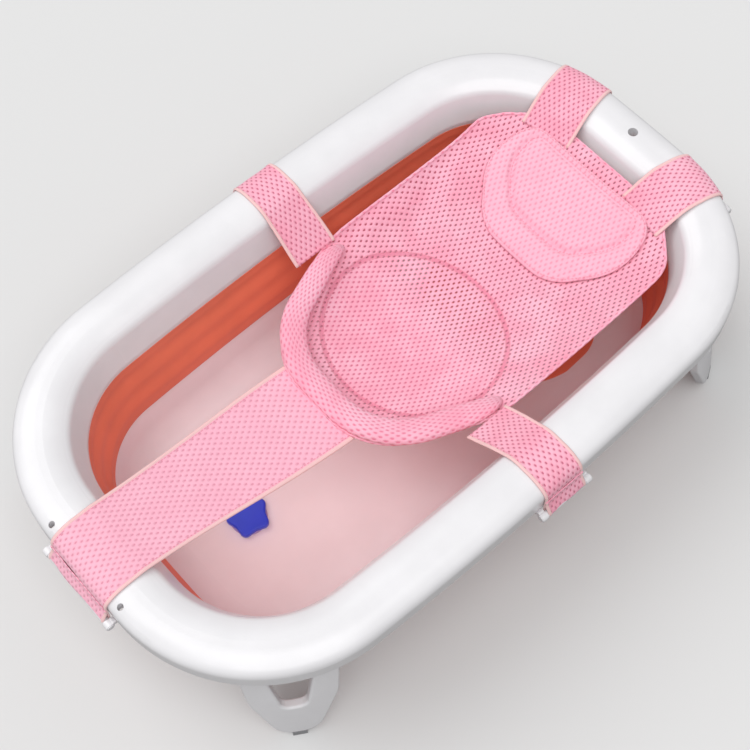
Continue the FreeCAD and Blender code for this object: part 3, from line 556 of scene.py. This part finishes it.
def object_from(name, points, faces, materials, indices=None, cloth=None, soft=True):
    """A mesh object with its materials, its face finishes and, for cloth, a UV map in metres."""
    piece = linked(name, points, [], faces)
    mesh = piece.data
    for material in materials:
        mesh.materials.append(material)
    if indices:
        mesh.polygons.foreach_set("material_index", indices)
    if cloth:
        layer = mesh.uv_layers.new(name="cloth")
        for loop in mesh.loops:
            layer.data[loop.index].uv = cloth[loop.vertex_index]
    mesh.polygons.foreach_set("use_smooth", [soft] * len(mesh.polygons))
    mesh.update()
    return piece


def shade_smooth(piece):
    """Show a finished piece without facets."""
    piece.data.polygons.foreach_set("use_smooth", [True] * len(piece.data.polygons))


def tidy_normals(piece):
    """Turn every face outward."""
    work = bmesh.new()
    work.from_mesh(piece.data)
    bmesh.ops.recalc_face_normals(work, faces=work.faces)
    work.to_mesh(piece.data)
    work.free()


def baked(piece):
    """Apply every modifier of a piece and give it its plain mesh."""
    shown = piece.evaluated_get(bpy.context.evaluated_depsgraph_get())
    mesh = bpy.data.meshes.new_from_object(shown)
    piece.modifiers.clear()
    piece.data = mesh
    piece.data.name = piece.name
    return piece


def thicken(piece, wall):
    """Give a sheet its thickness, half to each side."""
    solid = piece.modifiers.new("wall", "SOLIDIFY")
    solid.thickness = wall
    solid.offset = 0.0
    return baked(piece)


def swept(name, rails, materials, closed_rail=False, closed_path=False, **options):
    """A skin over rails, each a list of points of even count; rows run along the path."""
    rows, columns = len(rails), len(rails[0])
    points = [point for rail in rails for point in rail]
    faces = []
    for i in range(rows if closed_path else rows - 1):
        for j in range(columns if closed_rail else columns - 1):
            a, b = i * columns + j, i * columns + (j + 1) % columns
            low = ((i + 1) % rows) * columns
            faces.append((a, b, low + (j + 1) % columns, low + j))
    if closed_rail and not closed_path:
        faces.append(tuple(range(columns))[::-1])
        faces.append(tuple((rows - 1) * columns + j for j in range(columns)))
    return object_from(name, points, faces, materials, **options)


def heading(path, i):
    """Direction of an open path at its point i."""
    return (path[min(len(path) - 1, i + 1)] - path[max(0, i - 1)]).normalized()


def oval(base, out, wide, high, sides):
    """Points of an oval section about base, from its outer side up."""
    turns = [math.tau * k / sides for k in range(sides)]
    return [base + out * math.cos(a) * wide + Vector((0, 0, math.sin(a) * high)) for a in turns]


def inflate(piece, pressure, cap, pinned, frames=16):
    """Swell a padded piece with a short cloth run, holding its pinned places, and keep the result."""
    start = [v.co.copy() for v in piece.data.vertices]
    group = piece.vertex_groups.new(name="held")
    for i, spot in enumerate(start):
        weight = pinned(spot)
        if weight > 0:
            group.add([i], weight, "REPLACE")
    cloth = piece.modifiers.new("cloth", "CLOTH")
    settings = cloth.settings
    settings.quality = 6
    settings.mass = 0.25
    settings.tension_stiffness = settings.compression_stiffness = 12
    settings.bending_stiffness = 0.4
    settings.use_pressure = True
    settings.uniform_pressure_force = pressure
    settings.vertex_group_mass = "held"
    settings.effector_weights.gravity = 0
    cloth.collision_settings.use_collision = False
    cloth.point_cache.frame_end = frames
    scene = bpy.context.scene
    for step in range(1, frames + 1):
        scene.frame_set(step)
    shown = piece.evaluated_get(bpy.context.evaluated_depsgraph_get())
    swollen = [v.co.copy() for v in shown.data.vertices]
    piece.modifiers.clear()
    scene.frame_set(1)
    for vertex, old, new in zip(piece.data.vertices, start, swollen):
        move = new - old
        if move.length > cap:
            move *= cap / move.length
        vertex.co = old + move
    finer = piece.modifiers.new("finer", "SUBSURF")
    finer.levels = finer.render_levels = 1
    return baked(piece)


def chart(piece, where):
    """Give a finished cloth mesh its UV map from a rule on points."""
    mesh = piece.data
    layer = mesh.uv_layers.get("cloth") or mesh.uv_layers.new(name="cloth")
    spots = [where(v.co) for v in mesh.vertices]
    for loop in mesh.loops:
        layer.data[loop.index].uv = spots[loop.vertex_index]
    return piece


def laid(piece, path, lift=0.0002):
    """Drop points in plan onto the top of a finished piece."""
    mesh = piece.data
    skin = BVHTree.FromPolygons([v.co for v in mesh.vertices], [tuple(p.vertices) for p in mesh.polygons])
    spots = []
    for p in path:
        hit = skin.ray_cast(Vector((p.x, p.y, TUB_TOP + 0.1)), Vector((0, 0, -1)))[0]
        if hit:
            spots.append(hit + Vector((0, 0, lift)))
    return spots


# ---------------------------------------------------------------- geometry node trees
def new_tree(name, **sizes):
    """A geometry tree with named sizes and a material: the tree, its input wires and its output node."""
    tree = bpy.data.node_groups.new(name, "GeometryNodeTree")
    tree.interface.new_socket("Geometry", in_out="INPUT", socket_type="NodeSocketGeometry")
    tree.interface.new_socket("Geometry", in_out="OUTPUT", socket_type="NodeSocketGeometry")
    for label, value in sizes.items():
        socket = tree.interface.new_socket(label, in_out="INPUT", socket_type="NodeSocketFloat")
        socket.default_value = value
    tree.interface.new_socket("Material", in_out="INPUT", socket_type="NodeSocketMaterial")
    entry = tree.nodes.new("NodeGroupInput")
    exit_node = tree.nodes.new("NodeGroupOutput")
    wires = {socket.name: Wire(tree, socket) for socket in entry.outputs if socket.name}
    return tree, wires, exit_node


def close_tree(tree, geometry, material, exit_node):
    """End a tree in Realize Instances and Set Material."""
    solid = wire(tree, "GeometryNodeRealizeInstances", None, {0: geometry})
    painted = wire(tree, "GeometryNodeSetMaterial", None, {"Geometry": solid, "Material": material})
    tree.links.new(painted.socket, exit_node.inputs[0])


def grow(piece, tree, **amounts):
    """Run a tree on a piece with the given named inputs and keep its plain mesh."""
    modifier = piece.modifiers.new(tree.name, "NODES")
    modifier.node_group = tree
    for item in tree.interface.items_tree:
        if item.item_type == "SOCKET" and item.in_out == "INPUT" and item.name in amounts:
            modifier[item.identifier] = amounts[item.name]
    baked(piece)
    if not piece.data.polygons:
        raise RuntimeError(f"{piece.name} came out empty")
    shade_smooth(piece)
    return piece


def wall_tree():
    """The rubber wall: a folded section swept round the tub's plan."""
    tree, given, exit_node = new_tree("rubber_wall", Drop=0.05, Height=0.09, Lean=0.013, Inset=0.042,
                                      Wall=0.002, Fold=0.002)
    rail = wire(tree, "GeometryNodeMeshToCurve", None, {0: given["Geometry"]})
    ring = wire(tree, "GeometryNodeCurvePrimitiveCircle", {"mode": "RADIUS"},
                {"Resolution": 96, "Radius": 1.0})
    turn = wire(tree, "GeometryNodeSplineParameter", None, None, "Factor")
    outer = turn > 0.5
    fall = 1.0 - (turn * 2.0 - 1.0).size()
    lean = fall.ramp(0.04, 0.92)
    folds = (fall * math.tau * 3.0).sine() * fall.ramp(0.05, 0.2) * (1.0 - fall.ramp(0.8, 0.95))
    out = -given["Inset"] - lean * given["Lean"] - folds * given["Fold"] + outer * given["Wall"]
    up = given["Drop"] + fall * given["Height"]
    spot = wire(tree, "ShaderNodeCombineXYZ", None, {"X": out, "Y": up})
    section = wire(tree, "GeometryNodeSetPosition", None, {"Geometry": ring, "Position": spot})
    skin = wire(tree, "GeometryNodeCurveToMesh", None, {"Curve": rail, "Profile Curve": section})
    close_tree(tree, skin, given["Material"], exit_node)
    return tree


def stitch_tree():
    """Stitches along every edge of the guide lines."""
    tree, given, exit_node = new_tree("stitches", Pitch=0.004, Length=0.003, Thickness=0.001)
    rail = wire(tree, "GeometryNodeMeshToCurve", None, {0: given["Geometry"]})
    points = wire(tree, "GeometryNodeCurveToPoints", {"mode": "LENGTH"},
                  {"Curve": rail, "Length": given["Pitch"]})
    turn = Wire(tree, points.socket.node.outputs["Rotation"])
    bead = wire(tree, "GeometryNodeMeshUVSphere", None, {"Segments": 6, "Rings": 5, "Radius": 0.5})
    size_of = wire(tree, "ShaderNodeCombineXYZ", None, {"X": given["Thickness"], "Y": given["Thickness"],
                                                       "Z": given["Length"]})
    sewn = wire(tree, "GeometryNodeInstanceOnPoints", None, {"Points": points, "Instance": bead,
                                                             "Rotation": turn, "Scale": size_of})
    close_tree(tree, sewn, given["Material"], exit_node)
    return tree


SEAMS = {}


def seam(body, path):
    """Remember a line of stitches for the body that carries it."""
    SEAMS.setdefault(body, []).append([Vector(p) for p in path])


# ---------------------------------------------------------------- operators
class BATHTUB_OT_shell(bpy.types.Operator):
    """Give the moulded parts, legs, plug and hook bars their finishes"""

    bl_idname = "bathtub.shell"
    bl_label = "Finish moulded parts"

    def execute(self, context):
        shades = context.scene.bathtub_colours
        shell = made("shell_plastic", moulded, shades.shell, 0.27, 1100.0, coat=0.35)
        leg = made("leg_plastic", moulded, tint(shades.shell, 0.97), 0.40, 800.0, 0.00005)
        blush = made("basin_plastic", moulded, shades.blush, 0.36, 900.0, 0.00004, mottle=0.03)
        coral = coral_rubber(shades)
        star = made("star_rubber", rubbery, shades.star, tint(shades.star, 0.8), 0.34)
        lilac = made("lilac_silicone", rubbery, shades.lilac, tint(shades.lilac, 0.88), 0.38)
        foot = made("foot_rubber", rubbery, shades.rubber, tint(shades.rubber, 0.8), 0.7)
        steel = made("pin_metal", metal, shades.steel)
        kinds = {"rim": shell, "basin": blush, "floor_pad": coral, "drain_plug": star, "plug_seal": lilac,
                 "leg_pin": steel, "leg_": leg, "foot_pad": foot, "hook_bar": shell}
        for name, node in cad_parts.items():
            kind = next((key for key in kinds if name.startswith(key)), None)
            if kind is None:
                continue
            if not node.data.materials:
                node.data.materials.append(kinds[kind])
            for slot in node.material_slots:
                slot.material = kinds[kind]
        return {"FINISHED"}


class BATHTUB_OT_wall(bpy.types.Operator):
    """Make the folding rubber wall between rim and basin"""

    bl_idname = "bathtub.wall"
    bl_label = "Make rubber wall"

    def execute(self, context):
        tub, shades = context.scene.bathtub_tub, context.scene.bathtub_colours
        spots = plan(0.006)
        piece = linked("rubber_wall", [p + Vector((0, 0, TUB_TOP)) for p, _ in spots],
                       [(i, (i + 1) % len(spots)) for i in range(len(spots))], [])
        coral = coral_rubber(shades)
        grow(piece, wall_tree(), Drop=tub.lip_drop, Height=tub.band_height, Lean=tub.band_lean,
             Inset=tub.lip_inset, Wall=tub.band_wall, Fold=tub.band_fold, Material=coral)
        tidy_normals(piece)
        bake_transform(piece)
        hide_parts("wall_band")
        return {"FINISHED"}


class BATHTUB_OT_net(bpy.types.Operator):
    """Hang the hammock's mesh sheet"""

    bl_idname = "bathtub.net"
    bl_label = "Make hammock net"

    def execute(self, context):
        net, shades = context.scene.bathtub_net, context.scene.bathtub_colours
        mesh_cloth = made("net_mesh", knit, net, shades, seat=True)
        outline = net_outline(-0.0004)
        centre, rings, crowd = Vector((0.110, 0.0)), 44, 1.1
        sag_across, sag_along = 1.06, 1.03
        points, cloth = [], []

        def spot(p):
            return (p.x, p.y, sling(p.x, p.y) + net.lift + ripple(p))

        for ring in range(rings):
            share = 1.0 - (ring / rings) ** crowd
            for edge in outline:
                p = centre.lerp(edge, share)
                points.append(spot(p))
                cloth.append((p.y * sag_across, p.x * sag_along))
        count = len(outline)
        points.append(spot(centre))
        cloth.append((centre.y, centre.x * sag_along))
        faces = []
        for ring in range(rings - 1):
            for j in range(count):
                a, b = ring * count + j, ring * count + (j + 1) % count
                faces.append((a, b, b + count, a + count))
        last = (rings - 1) * count
        faces += [(last + j, last + (j + 1) % count, rings * count) for j in range(count)]
        piece = object_from("hammock_net", points, faces, [mesh_cloth], cloth=cloth)
        thicken(piece, net.cloth)
        edge = self.hem(outline, net)
        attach(piece, "rim_body")
        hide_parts("net_seat")
        turns = [math.tau * i / 160 for i in range(161)]
        for apart in (-0.0022, 0.0022):
            seam("rim_body", laid(piece, [Vector((net.seat_at + math.cos(a) * (net.seat_long + apart),
                                                  math.sin(a) * (net.seat_wide + apart))) for a in turns]))
        return {"FINISHED"}

    def hem(self, outline, net):
        """The rolled edge of the sheet."""
        shades = bpy.context.scene.bathtub_colours
        rails, cloth = [], []
        count, done = len(outline), 0.0
        sides, inset, wide, high, step = 8, 0.0012, 0.0019, 0.0014, 0.0012
        for i, p in enumerate(outline):
            ahead = (outline[(i + 1) % count] - outline[i - 1]).normalized()
            out = Vector((ahead.y, -ahead.x, 0))
            base = Vector((p.x, p.y, sling(p.x, p.y) + net.lift + ripple(p))) - out * inset
            done += (outline[i] - outline[i - 1]).length if i else 0.0
            rails.append(oval(base, out, wide, high, sides))
            cloth += [(k * step, done) for k in range(sides)]
        mesh_cloth = made("hem_mesh", knit, net, shades, depth=0.3)
        piece = swept("net_hem", rails, [mesh_cloth], closed_rail=True, closed_path=True, cloth=cloth)
        tidy_normals(piece)
        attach(piece, "rim_body")
        return piece


# Pull lines from the straps: where they start, how many fan out.
PULLS = [(Vector((0.017, 0.15)), 9), (Vector((0.017, -0.15)), 9), (Vector((0.31, 0.11)), 8),
         (Vector((0.31, -0.11)), 8)]
PULL_REACH, PULL_START, PULL_TWIST, PULL_HIGH = 0.085, 0.035, 25, 0.0017

# Folds of the mesh: start, finish, height, width.
FOLDS = [(Vector((0.120, 0.100)), Vector((0.290, 0.136)), -0.0045, 0.012),
         (Vector((0.060, 0.124)), Vector((0.150, 0.122)), 0.0030, 0.009),
         (Vector((0.150, 0.060)), Vector((0.215, 0.118)), 0.0018, 0.008),
         (Vector((0.120, -0.112)), Vector((0.260, -0.130)), -0.0030, 0.011),
         (Vector((0.156, -0.020)), Vector((0.190, -0.105)), 0.0018, 0.008)]


def ripple(p):
    """Soft unevenness, pull lines, folds and the seat's dish in the hung mesh."""
    net = bpy.context.scene.bathtub_net
    soft = noise.noise(Vector((p.x * 14, p.y * 14, 0.3))) * 0.0014
    pull = 0.0
    for at, count in PULLS:
        away = p - at
        near = math.exp(-(away.length / PULL_REACH) ** 2) * smooth(away.length / PULL_START)
        pull += near * math.sin(math.atan2(away.y, away.x) * count + away.length * PULL_TWIST) * PULL_HIGH
    for start, finish, depth, wide in FOLDS:
        along = finish - start
        t = min(1.0, max(0.0, (p - start).dot(along) / along.length_squared))
        bow = Vector((-along.y, along.x)) * 0.08 * math.sin(t * math.pi)
        away = (p - start - along * t - bow).length
        pull += depth * math.exp(-(away / wide) ** 2) * math.sin((0.08 + 0.84 * t) * math.pi)
    seam_reach = math.hypot((p.x - net.seat_at) / net.seat_long, p.y / net.seat_wide)
    dish = -0.0012 * math.exp(-((seam_reach - 1.0) / 0.035) ** 2)
    return soft + pull * (1.0 - smooth((0.99 - seam_reach) / 0.06)) + dish


ROLL_STEP = 0.003


def roll_path(net):
    """The middle line of the padded roll, from its far arm round the foot edge to its near arm."""
    outline = net_outline(-net.roll_wide / 2 + 0.002, ROLL_STEP)
    kept = [p for p in outline if p.x < net.roll_end]
    start = next(i for i in range(len(kept)) if (kept[i] - kept[i - 1]).length > 0.05)
    return kept[start:] + kept[:start]


class BATHTUB_OT_roll(bpy.types.Operator):
    """Pad the curved roll round the seat's foot side"""

    bl_idname = "bathtub.roll"
    bl_label = "Make padded roll"

    def execute(self, context):
        net, shades = context.scene.bathtub_net, context.scene.bathtub_colours
        path = roll_path(net)
        count, sides, above, held = len(path), 18, 0.0022, 0.0032
        least, blunt, share_wide, share_high = 0.02, 7, 0.43, 0.42
        rails, line = [], []
        for i, p in enumerate(path):
            ahead = heading(path, i)
            out = Vector((ahead.y, -ahead.x, 0))
            along = i / (count - 1)
            taper = math.sqrt(max(least, 1 - (abs(2 * along - 1)) ** blunt))
            wide, high = net.roll_wide * share_wide * taper, net.roll_high * share_high * taper
            base = Vector((p.x, p.y, sling(p.x, p.y) + net.lift + high + above))
            line.append(base)
            rails.append(oval(base, out, wide, high, sides))
        cloth = made("pad_mesh", knit, net, shades, depth=0.55)
        piece = swept("padded_roll", rails, [cloth], closed_rail=True)
        tidy_normals(piece)
        inflate(piece, 4.0, 0.006, lambda p: 1.0 if p.z < sling(p.x, p.y) + net.lift + held else 0.0)
        around = (net.roll_wide + net.roll_high) * 0.78 / math.pi

        def on_roll(p):
            i = min(range(0, count, 2), key=lambda k: (line[k] - p).length_squared)
            away = p - line[i]
            ahead = heading(line, i)
            out = Vector((ahead.y, -ahead.x, 0))
            return math.atan2(away.z, away.dot(out)) * around, i * ROLL_STEP + away.dot(ahead)

        chart(piece, on_roll)
        shade_smooth(piece)
        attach(piece, "rim_body")
        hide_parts("net_roll")
        return {"FINISHED"}


def pillow_outline(grow=0.0, spacing=0.004):
    front, middle, back, half = 0.192 - grow, 0.253, 0.322 + grow, 0.114 + grow
    corners = [(front, half * 0.5, 0.060), (middle, half, 0.060), (back, half * 0.9, 0.030)]
    return rounded(both_sides(corners), spacing, closed=True)


def inner_pillow(spacing=0.003):
    """The D-shaped seam inside the pillow."""
    return rounded(both_sides([(0.232, 0.042, 0.044), (0.270, 0.084, 0.044), (0.311, 0.082, 0.014)]),
                   spacing, closed=True)


def nearness(p, path):
    """Distance in plan from p to a closed path of close points."""
    return min((q.x - p.x) ** 2 + (q.y - p.y) ** 2 for q in path) ** 0.5


class BATHTUB_OT_pillow(bpy.types.Operator):
    """Pad the pillow and its D-shaped inner cushion"""

    bl_idname = "bathtub.pillow"
    bl_label = "Make pillow"

    def execute(self, context):
        net, shades = context.scene.bathtub_net, context.scene.bathtub_colours
        outline = pillow_outline(-0.003)
        ring_seam = inner_pillow()
        centre, bedded = Vector((0.256, 0.0)), net.lift + 0.003
        held, seam_wide, seam_deep, seam_soft = 0.0012, 0.0026, 0.0050, 0.0038
        dome, flatness, stretch = 0.62, 6, 1.04
        count, rings = len(outline), 26
        top, bottom = [], []
        for ring in range(rings):
            share = 1.0 - ring / rings
            for edge in outline:
                p = centre.lerp(edge, share)
                rise = net.pillow_high * dome * (1 - share ** flatness) ** 0.5
                base = sling(p.x, p.y) + bedded
                top.append(Vector((p.x, p.y, base + rise)))
                bottom.append(Vector((p.x, p.y, base)))
        points = top + bottom[count:]
        faces = []

        def index(layer, ring, j):
            j %= count
            if layer and ring:
                return len(top) + (ring - 1) * count + j
            return ring * count + j

        for layer in (0, 1):
            for ring in range(rings - 1):
                for j in range(count):
                    quad = (index(layer, ring, j), index(layer, ring, j + 1),
                            index(layer, ring + 1, j + 1), index(layer, ring + 1, j))
                    faces.append(quad if layer == 0 else quad[::-1])
            cap = tuple(index(layer, rings - 1, j) for j in range(count))
            faces.append(cap if layer == 0 else cap[::-1])
        cloth = made("pillow_mesh", knit, net, shades, light=0.55, depth=0.4)
        piece = object_from("pillow", points, faces, [cloth])
        tidy_normals(piece)
        inflate(piece, 4.0, 0.007, lambda p: 1.0 if p.z < sling(p.x, p.y) + bedded + held
                or nearness(p, ring_seam) < seam_wide else 0.0)
        for vertex in piece.data.vertices:
            p = vertex.co
            depth = p.z - sling(p.x, p.y) - net.lift - 0.004
            if depth > 0.003:
                away = nearness(p, ring_seam)
                vertex.co.z -= min(depth - 0.002, seam_deep * math.exp(-(away / seam_soft) ** 2))
        chart(piece, lambda p: (p.y * stretch, p.x * stretch))
        shade_smooth(piece)
        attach(piece, "rim_body")
        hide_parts("net_pillow")
        for path in (inner_pillow(), pillow_outline(-0.0065, 0.003)):
            seam("rim_body", laid(piece, path + path[:1]))
        return {"FINISHED"}


FOOT_REACH, SIDE_REACH, HEAD_REACH = 0.281, 0.080, 0.062
FOOT_WIDEN, SIDE_WIDEN = 0.0122, 0.002
BOTH = (("near", -1.0), ("far", 1.0))
# Where a strap leaves the rim's crest for the net, and how soon it lies straight after that.
RUN_START, RUN_SETTLE = 0.020, 0.035


def strap_places():
    """Each strap's spot on the rim's middle line, outward direction, width, plan radius, inner reach
    and how much wider it is at the net."""
    tub, straps = bpy.context.scene.bathtub_tub, bpy.context.scene.bathtub_straps
    corner, turn = corner_centre(), straps.head_turn
    out = Vector((math.cos(turn), math.sin(turn)))
    head = corner + out * tub.corner_radius
    places = {"foot": ((-half_length(), 0.0), (-1.0, 0.0), straps.foot, tub.end_radius, FOOT_REACH,
                       FOOT_WIDEN)}
    for end, sign in BOTH:
        places[f"side_{end}"] = ((straps.side_at, sign * half_width()), (0.0, sign), straps.side,
                                 tub.side_radius, SIDE_REACH, SIDE_WIDEN)
    for end, sign in BOTH:
        places[f"head_{end}"] = ((head.x, sign * head.y), (out.x, sign * out.y), straps.head,
                                 tub.corner_radius, HEAD_REACH, 0.0)
    return places


class BATHTUB_OT_straps(bpy.types.Operator):
    """Lay the five bound straps over the rim and hem them round their hook bars"""

    bl_idname = "bathtub.straps"
    bl_label = "Make straps"

    def execute(self, context):
        for name in strap_places():
            self.strap(context, name)
        return {"FINISHED"}

    def strap(self, context, name):
        scene = context.scene
        straps, net, shades = scene.bathtub_straps, scene.bathtub_net, scene.bathtub_colours
        crest_in, crest_out, sew_in, sew_high, bare_end = 0.010, 0.016, 0.0012, 0.62, 0.030
        foot, hook = name == "foot", f"hook_{name}_body"
        spot, out, width, radius, reach, widen = strap_places()[name]
        spot, out = Vector((*spot, TUB_TOP)), Vector((*out, 0.0))
        side = Vector((out.y, -out.x, 0.0))
        path = self.line(foot, spot - out * reach, reach)
        done = [0.0]
        for a, b in zip(path, path[1:]):
            done.append(done[-1] + (b - a).length)
        whole = done[-1]
        profile = self.profile(width, straps)
        rails, cloth = [], []
        sewn = width / 2 - straps.piping - sew_in
        threads = {(part, sign): [] for part in ("rim_body", hook) for sign in (-1, 1)}
        for i, p in enumerate(path):
            ahead = heading(path, i)
            flat = Vector((-ahead.y, ahead.x))
            run_in = max(0.0, -p.x - RUN_START)
            onto = smooth(run_in / RUN_SETTLE)
            wider = 1.0 + widen * 2 / width * smooth(run_in / (reach - RUN_START))
            rail = []
            lines = [(sign * sewn, straps.cloth * sew_high) for sign in (-1, 1)]
            for w, h in profile + lines:
                across = w * wider
                distance = radius + p.x
                bent = math.sqrt(max(1e-9, distance ** 2 - across ** 2)) - distance
                shift = bent * (1.0 - onto)
                puff = self.wave(name, across / width, done[i])
                at = spot + out * (p.x + shift + flat.x * (h + puff)) + side * across
                at.z += p.y + flat.y * (h + puff)
                rail.append(at)
            cloth += [(w, done[i]) for w, _ in profile]
            part = "rim_body" if p.x < -crest_in else hook
            if done[i] < whole - bare_end and not -crest_in <= p.x <= crest_out:
                for sign, at in zip((-1, 1), rail[len(profile):]):
                    threads[part, sign].append(at)
            rails.append(rail[:len(profile)])
        # depth sets the painted shade in the holes; light mixes the cloth toward the painted highlight
        # colour.
        if foot:
            sheet = made("strap_mesh_long", knit, net, shades, 0.14, 0.94, light=0.55, depth=0.28)
        else:
            sheet = made("strap_mesh_short", knit, net, shades, 0.28, 0.94, light=0.0, depth=0.6)
        tape = made("strap_piping", bound, shades.piping)
        ends = zip(profile, profile[1:] + profile[:1])
        edge = [abs((a[0] + b[0]) / 2) > width / 2 - straps.piping for a, b in ends]
        indices = [int(e) for _ in range(len(path) - 1) for e in edge] + [0, 0]
        piece = swept(f"bound_strap_{name}", rails, [sheet, tape], closed_rail=True, indices=indices,
                      cloth=cloth)
        tidy_normals(piece)
        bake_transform(piece)
        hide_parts(f"strap_{name}", f"strap_hem_{name}")
        for (part, _), line in threads.items():
            seam(part, line)

    def line(self, foot, inner, reach):
        """The strap's run, out and up from the crest: net, rim, hook bar and hem."""
        straps, net = bpy.context.scene.bathtub_straps, bpy.context.scene.bathtub_net
        end_z = sling(inner.x, inner.y) + net.lift + 0.0015 - TUB_TOP
        gap = straps.gap + straps.cloth / 2
        low, bar, hem = -straps.bar_drop, straps.bar_out, straps.hem_round
        skirt = bpy.context.scene.bathtub_tub.rim_width / 2 + gap
        first, *shoulders = crown_line(gap)
        middle, mean = -(reach + RUN_START) / 2, (end_z + gap) / 2
        hang = (middle - 0.01, mean - 0.004, reach * 0.8) if foot else (middle, mean + 0.001, reach * 0.5)
        corners = [(-reach, end_z), hang, (first[0] - 0.004, gap, 0.030), *shoulders,
                   (skirt, -0.024, 0.006), (bar - hem, low, hem * 0.6), (bar, low - hem, hem * 0.9),
                   (bar + hem * 0.95, low, hem * 0.9), (skirt + straps.cloth * 1.2, -0.027, 0.004),
                   (skirt + straps.cloth * 1.1, -0.019)]
        return rounded(corners, 0.0025)

    def profile(self, width, straps):
        """The strap's cross-section: thin cloth between two fuller bound edges."""
        half, thin, full = width / 2, straps.cloth / 2, straps.cloth * 0.95
        bind = straps.piping
        steps = 14
        middle = [(-half + bind + (width - 2 * bind) * i / steps, thin) for i in range(steps + 1)]
        upper = [(half - bind * 0.9, full * 0.8), (half - bind * 0.6, full),
                 (half - bind * 0.2, full * 0.75)]
        right = upper + [(half, 0.0)] + [(w, -h) for w, h in upper[::-1]]
        left = [(-w, -h) for w, h in right]
        return middle + right + [(-w, -h) for w, h in middle] + left

    def wave(self, name, across, along):
        """A little looseness across the cloth."""
        loose = 0.0012 if name == "foot" else 0.0005
        body = 1.0 - (2 * across) ** 2
        return loose * body * noise.noise(Vector((across * 3, along * 18, len(name))))


class BATHTUB_OT_stitches(bpy.types.Operator):
    """Sew the seams of net, pillow and straps"""

    bl_idname = "bathtub.stitches"
    bl_label = "Sew stitches"

    def execute(self, context):
        sizes, shades = context.scene.bathtub_stitches, context.scene.bathtub_colours
        thread = made("seam_thread", spun, shades.thread)
        tree = stitch_tree()
        for body, lines in SEAMS.items():
            points, edges = [], []
            for line in lines:
                first = len(points)
                points += line
                edges += [(first + i, first + i + 1) for i in range(len(line) - 1)]
            piece = linked(f"stitches_{body}", points, edges, [])
            grow(piece, tree, Pitch=sizes.pitch, Length=sizes.long, Thickness=sizes.thick, Material=thread)
            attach(piece, body)
        return {"FINISHED"}


class BATHTUB_OT_stage(bpy.types.Operator):
    """Set the floor, the lamps and the camera"""

    bl_idname = "bathtub.stage"
    bl_label = "Set the stage"

    def execute(self, context):
        scene, stage, shades = context.scene, context.scene.bathtub_stage, context.scene.bathtub_colours
        low = min(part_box(name)[0].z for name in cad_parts)
        reach = 14.0
        corners = [(-reach, -reach, low), (reach, -reach, low), (reach, reach, low), (-reach, reach, low)]
        floor = object_from("studio_floor", corners, [(0, 1, 2, 3)], [studio_floor(shades.floor)],
                            soft=False)
        for name, strength, toward in (("main_lamp", stage.lamp, Vector((-0.32, 0.65, 1.0))),
                                       ("fill_lamp", stage.fill, Vector((-0.24, -0.32, 1.0)))):
            lamp = bpy.data.lights.new(name, "SUN")
            lamp.energy, lamp.angle = strength, stage.softness
            holder = bpy.data.objects.new(name, lamp)
            holder.rotation_euler = toward.to_track_quat("Z", "Y").to_euler()
            scene.collection.objects.link(holder)
        world = bpy.data.worlds.new("studio")
        scene.world = world
        world.use_nodes = True
        tree = world.node_tree
        back = tree.nodes["Background"]
        path = wire(tree, "ShaderNodeLightPath", None, None, "Is Camera Ray")
        clear = wire(tree, "ShaderNodeLightPath", None, None, "Is Transmission Ray")
        seen = path.most(clear)
        backdrop = 0.80
        shade = seen * (backdrop - stage.sky) + stage.sky
        tree.links.new(shade.socket, back.inputs["Strength"])
        back.inputs["Color"].default_value = (1.0, 1.0, 1.0, 1.0)
        camera = bpy.data.objects.new("camera", bpy.data.cameras.new("camera"))
        scene.collection.objects.link(camera)
        camera.data.lens, camera.data.sensor_width = stage.lens, 36.0
        camera.data.clip_end = 60.0
        right, up = Vector((0.7471, -0.6647, -0.0038)), Vector((0.5970, 0.6685, 0.4435))
        back_way = right.cross(up).normalized()
        camera.matrix_world = Matrix.Translation((-0.4684, -0.5141, TUB_TOP + 1.2865)) @ Matrix(
            (right, up, back_way)).transposed().to_4x4()
        scene.camera = camera
        scene.view_settings.view_transform = "Standard"
        return {"FINISHED"}


OPERATORS = [BATHTUB_OT_shell, BATHTUB_OT_wall, BATHTUB_OT_net, BATHTUB_OT_roll, BATHTUB_OT_pillow,
             BATHTUB_OT_straps, BATHTUB_OT_stitches, BATHTUB_OT_stage]


class BATHTUB_PT_panel(bpy.types.Panel):
    """Sizes, colours and makers of the bathtub."""

    bl_label = "Baby Bathtub"
    bl_idname = "BATHTUB_PT_panel"
    bl_space_type = "VIEW_3D"
    bl_region_type = "UI"
    bl_category = "Bathtub"

    def draw(self, context):
        for attribute, group in GROUPS.items():
            box = self.layout.box()
            box.label(text=group.__doc__)
            for name in group.__annotations__:
                box.prop(getattr(context.scene, attribute), name)
        for operator in OPERATORS:
            self.layout.operator(operator.bl_idname)


def register():
    for group in (*GROUPS.values(), *OPERATORS, BATHTUB_PT_panel):
        bpy.utils.register_class(group)
    for attribute, group in GROUPS.items():
        setattr(bpy.types.Scene, attribute, PointerProperty(type=group))


def unregister():
    for attribute in GROUPS:
        delattr(bpy.types.Scene, attribute)
    for group in (BATHTUB_PT_panel, *reversed(OPERATORS), *reversed(GROUPS.values())):
        bpy.utils.unregister_class(group)


def main():
    register()
    for operator in OPERATORS:
        group, name = operator.bl_idname.split(".")
        getattr(getattr(bpy.ops, group), name)()


if __name__ == "__main__":
    main()
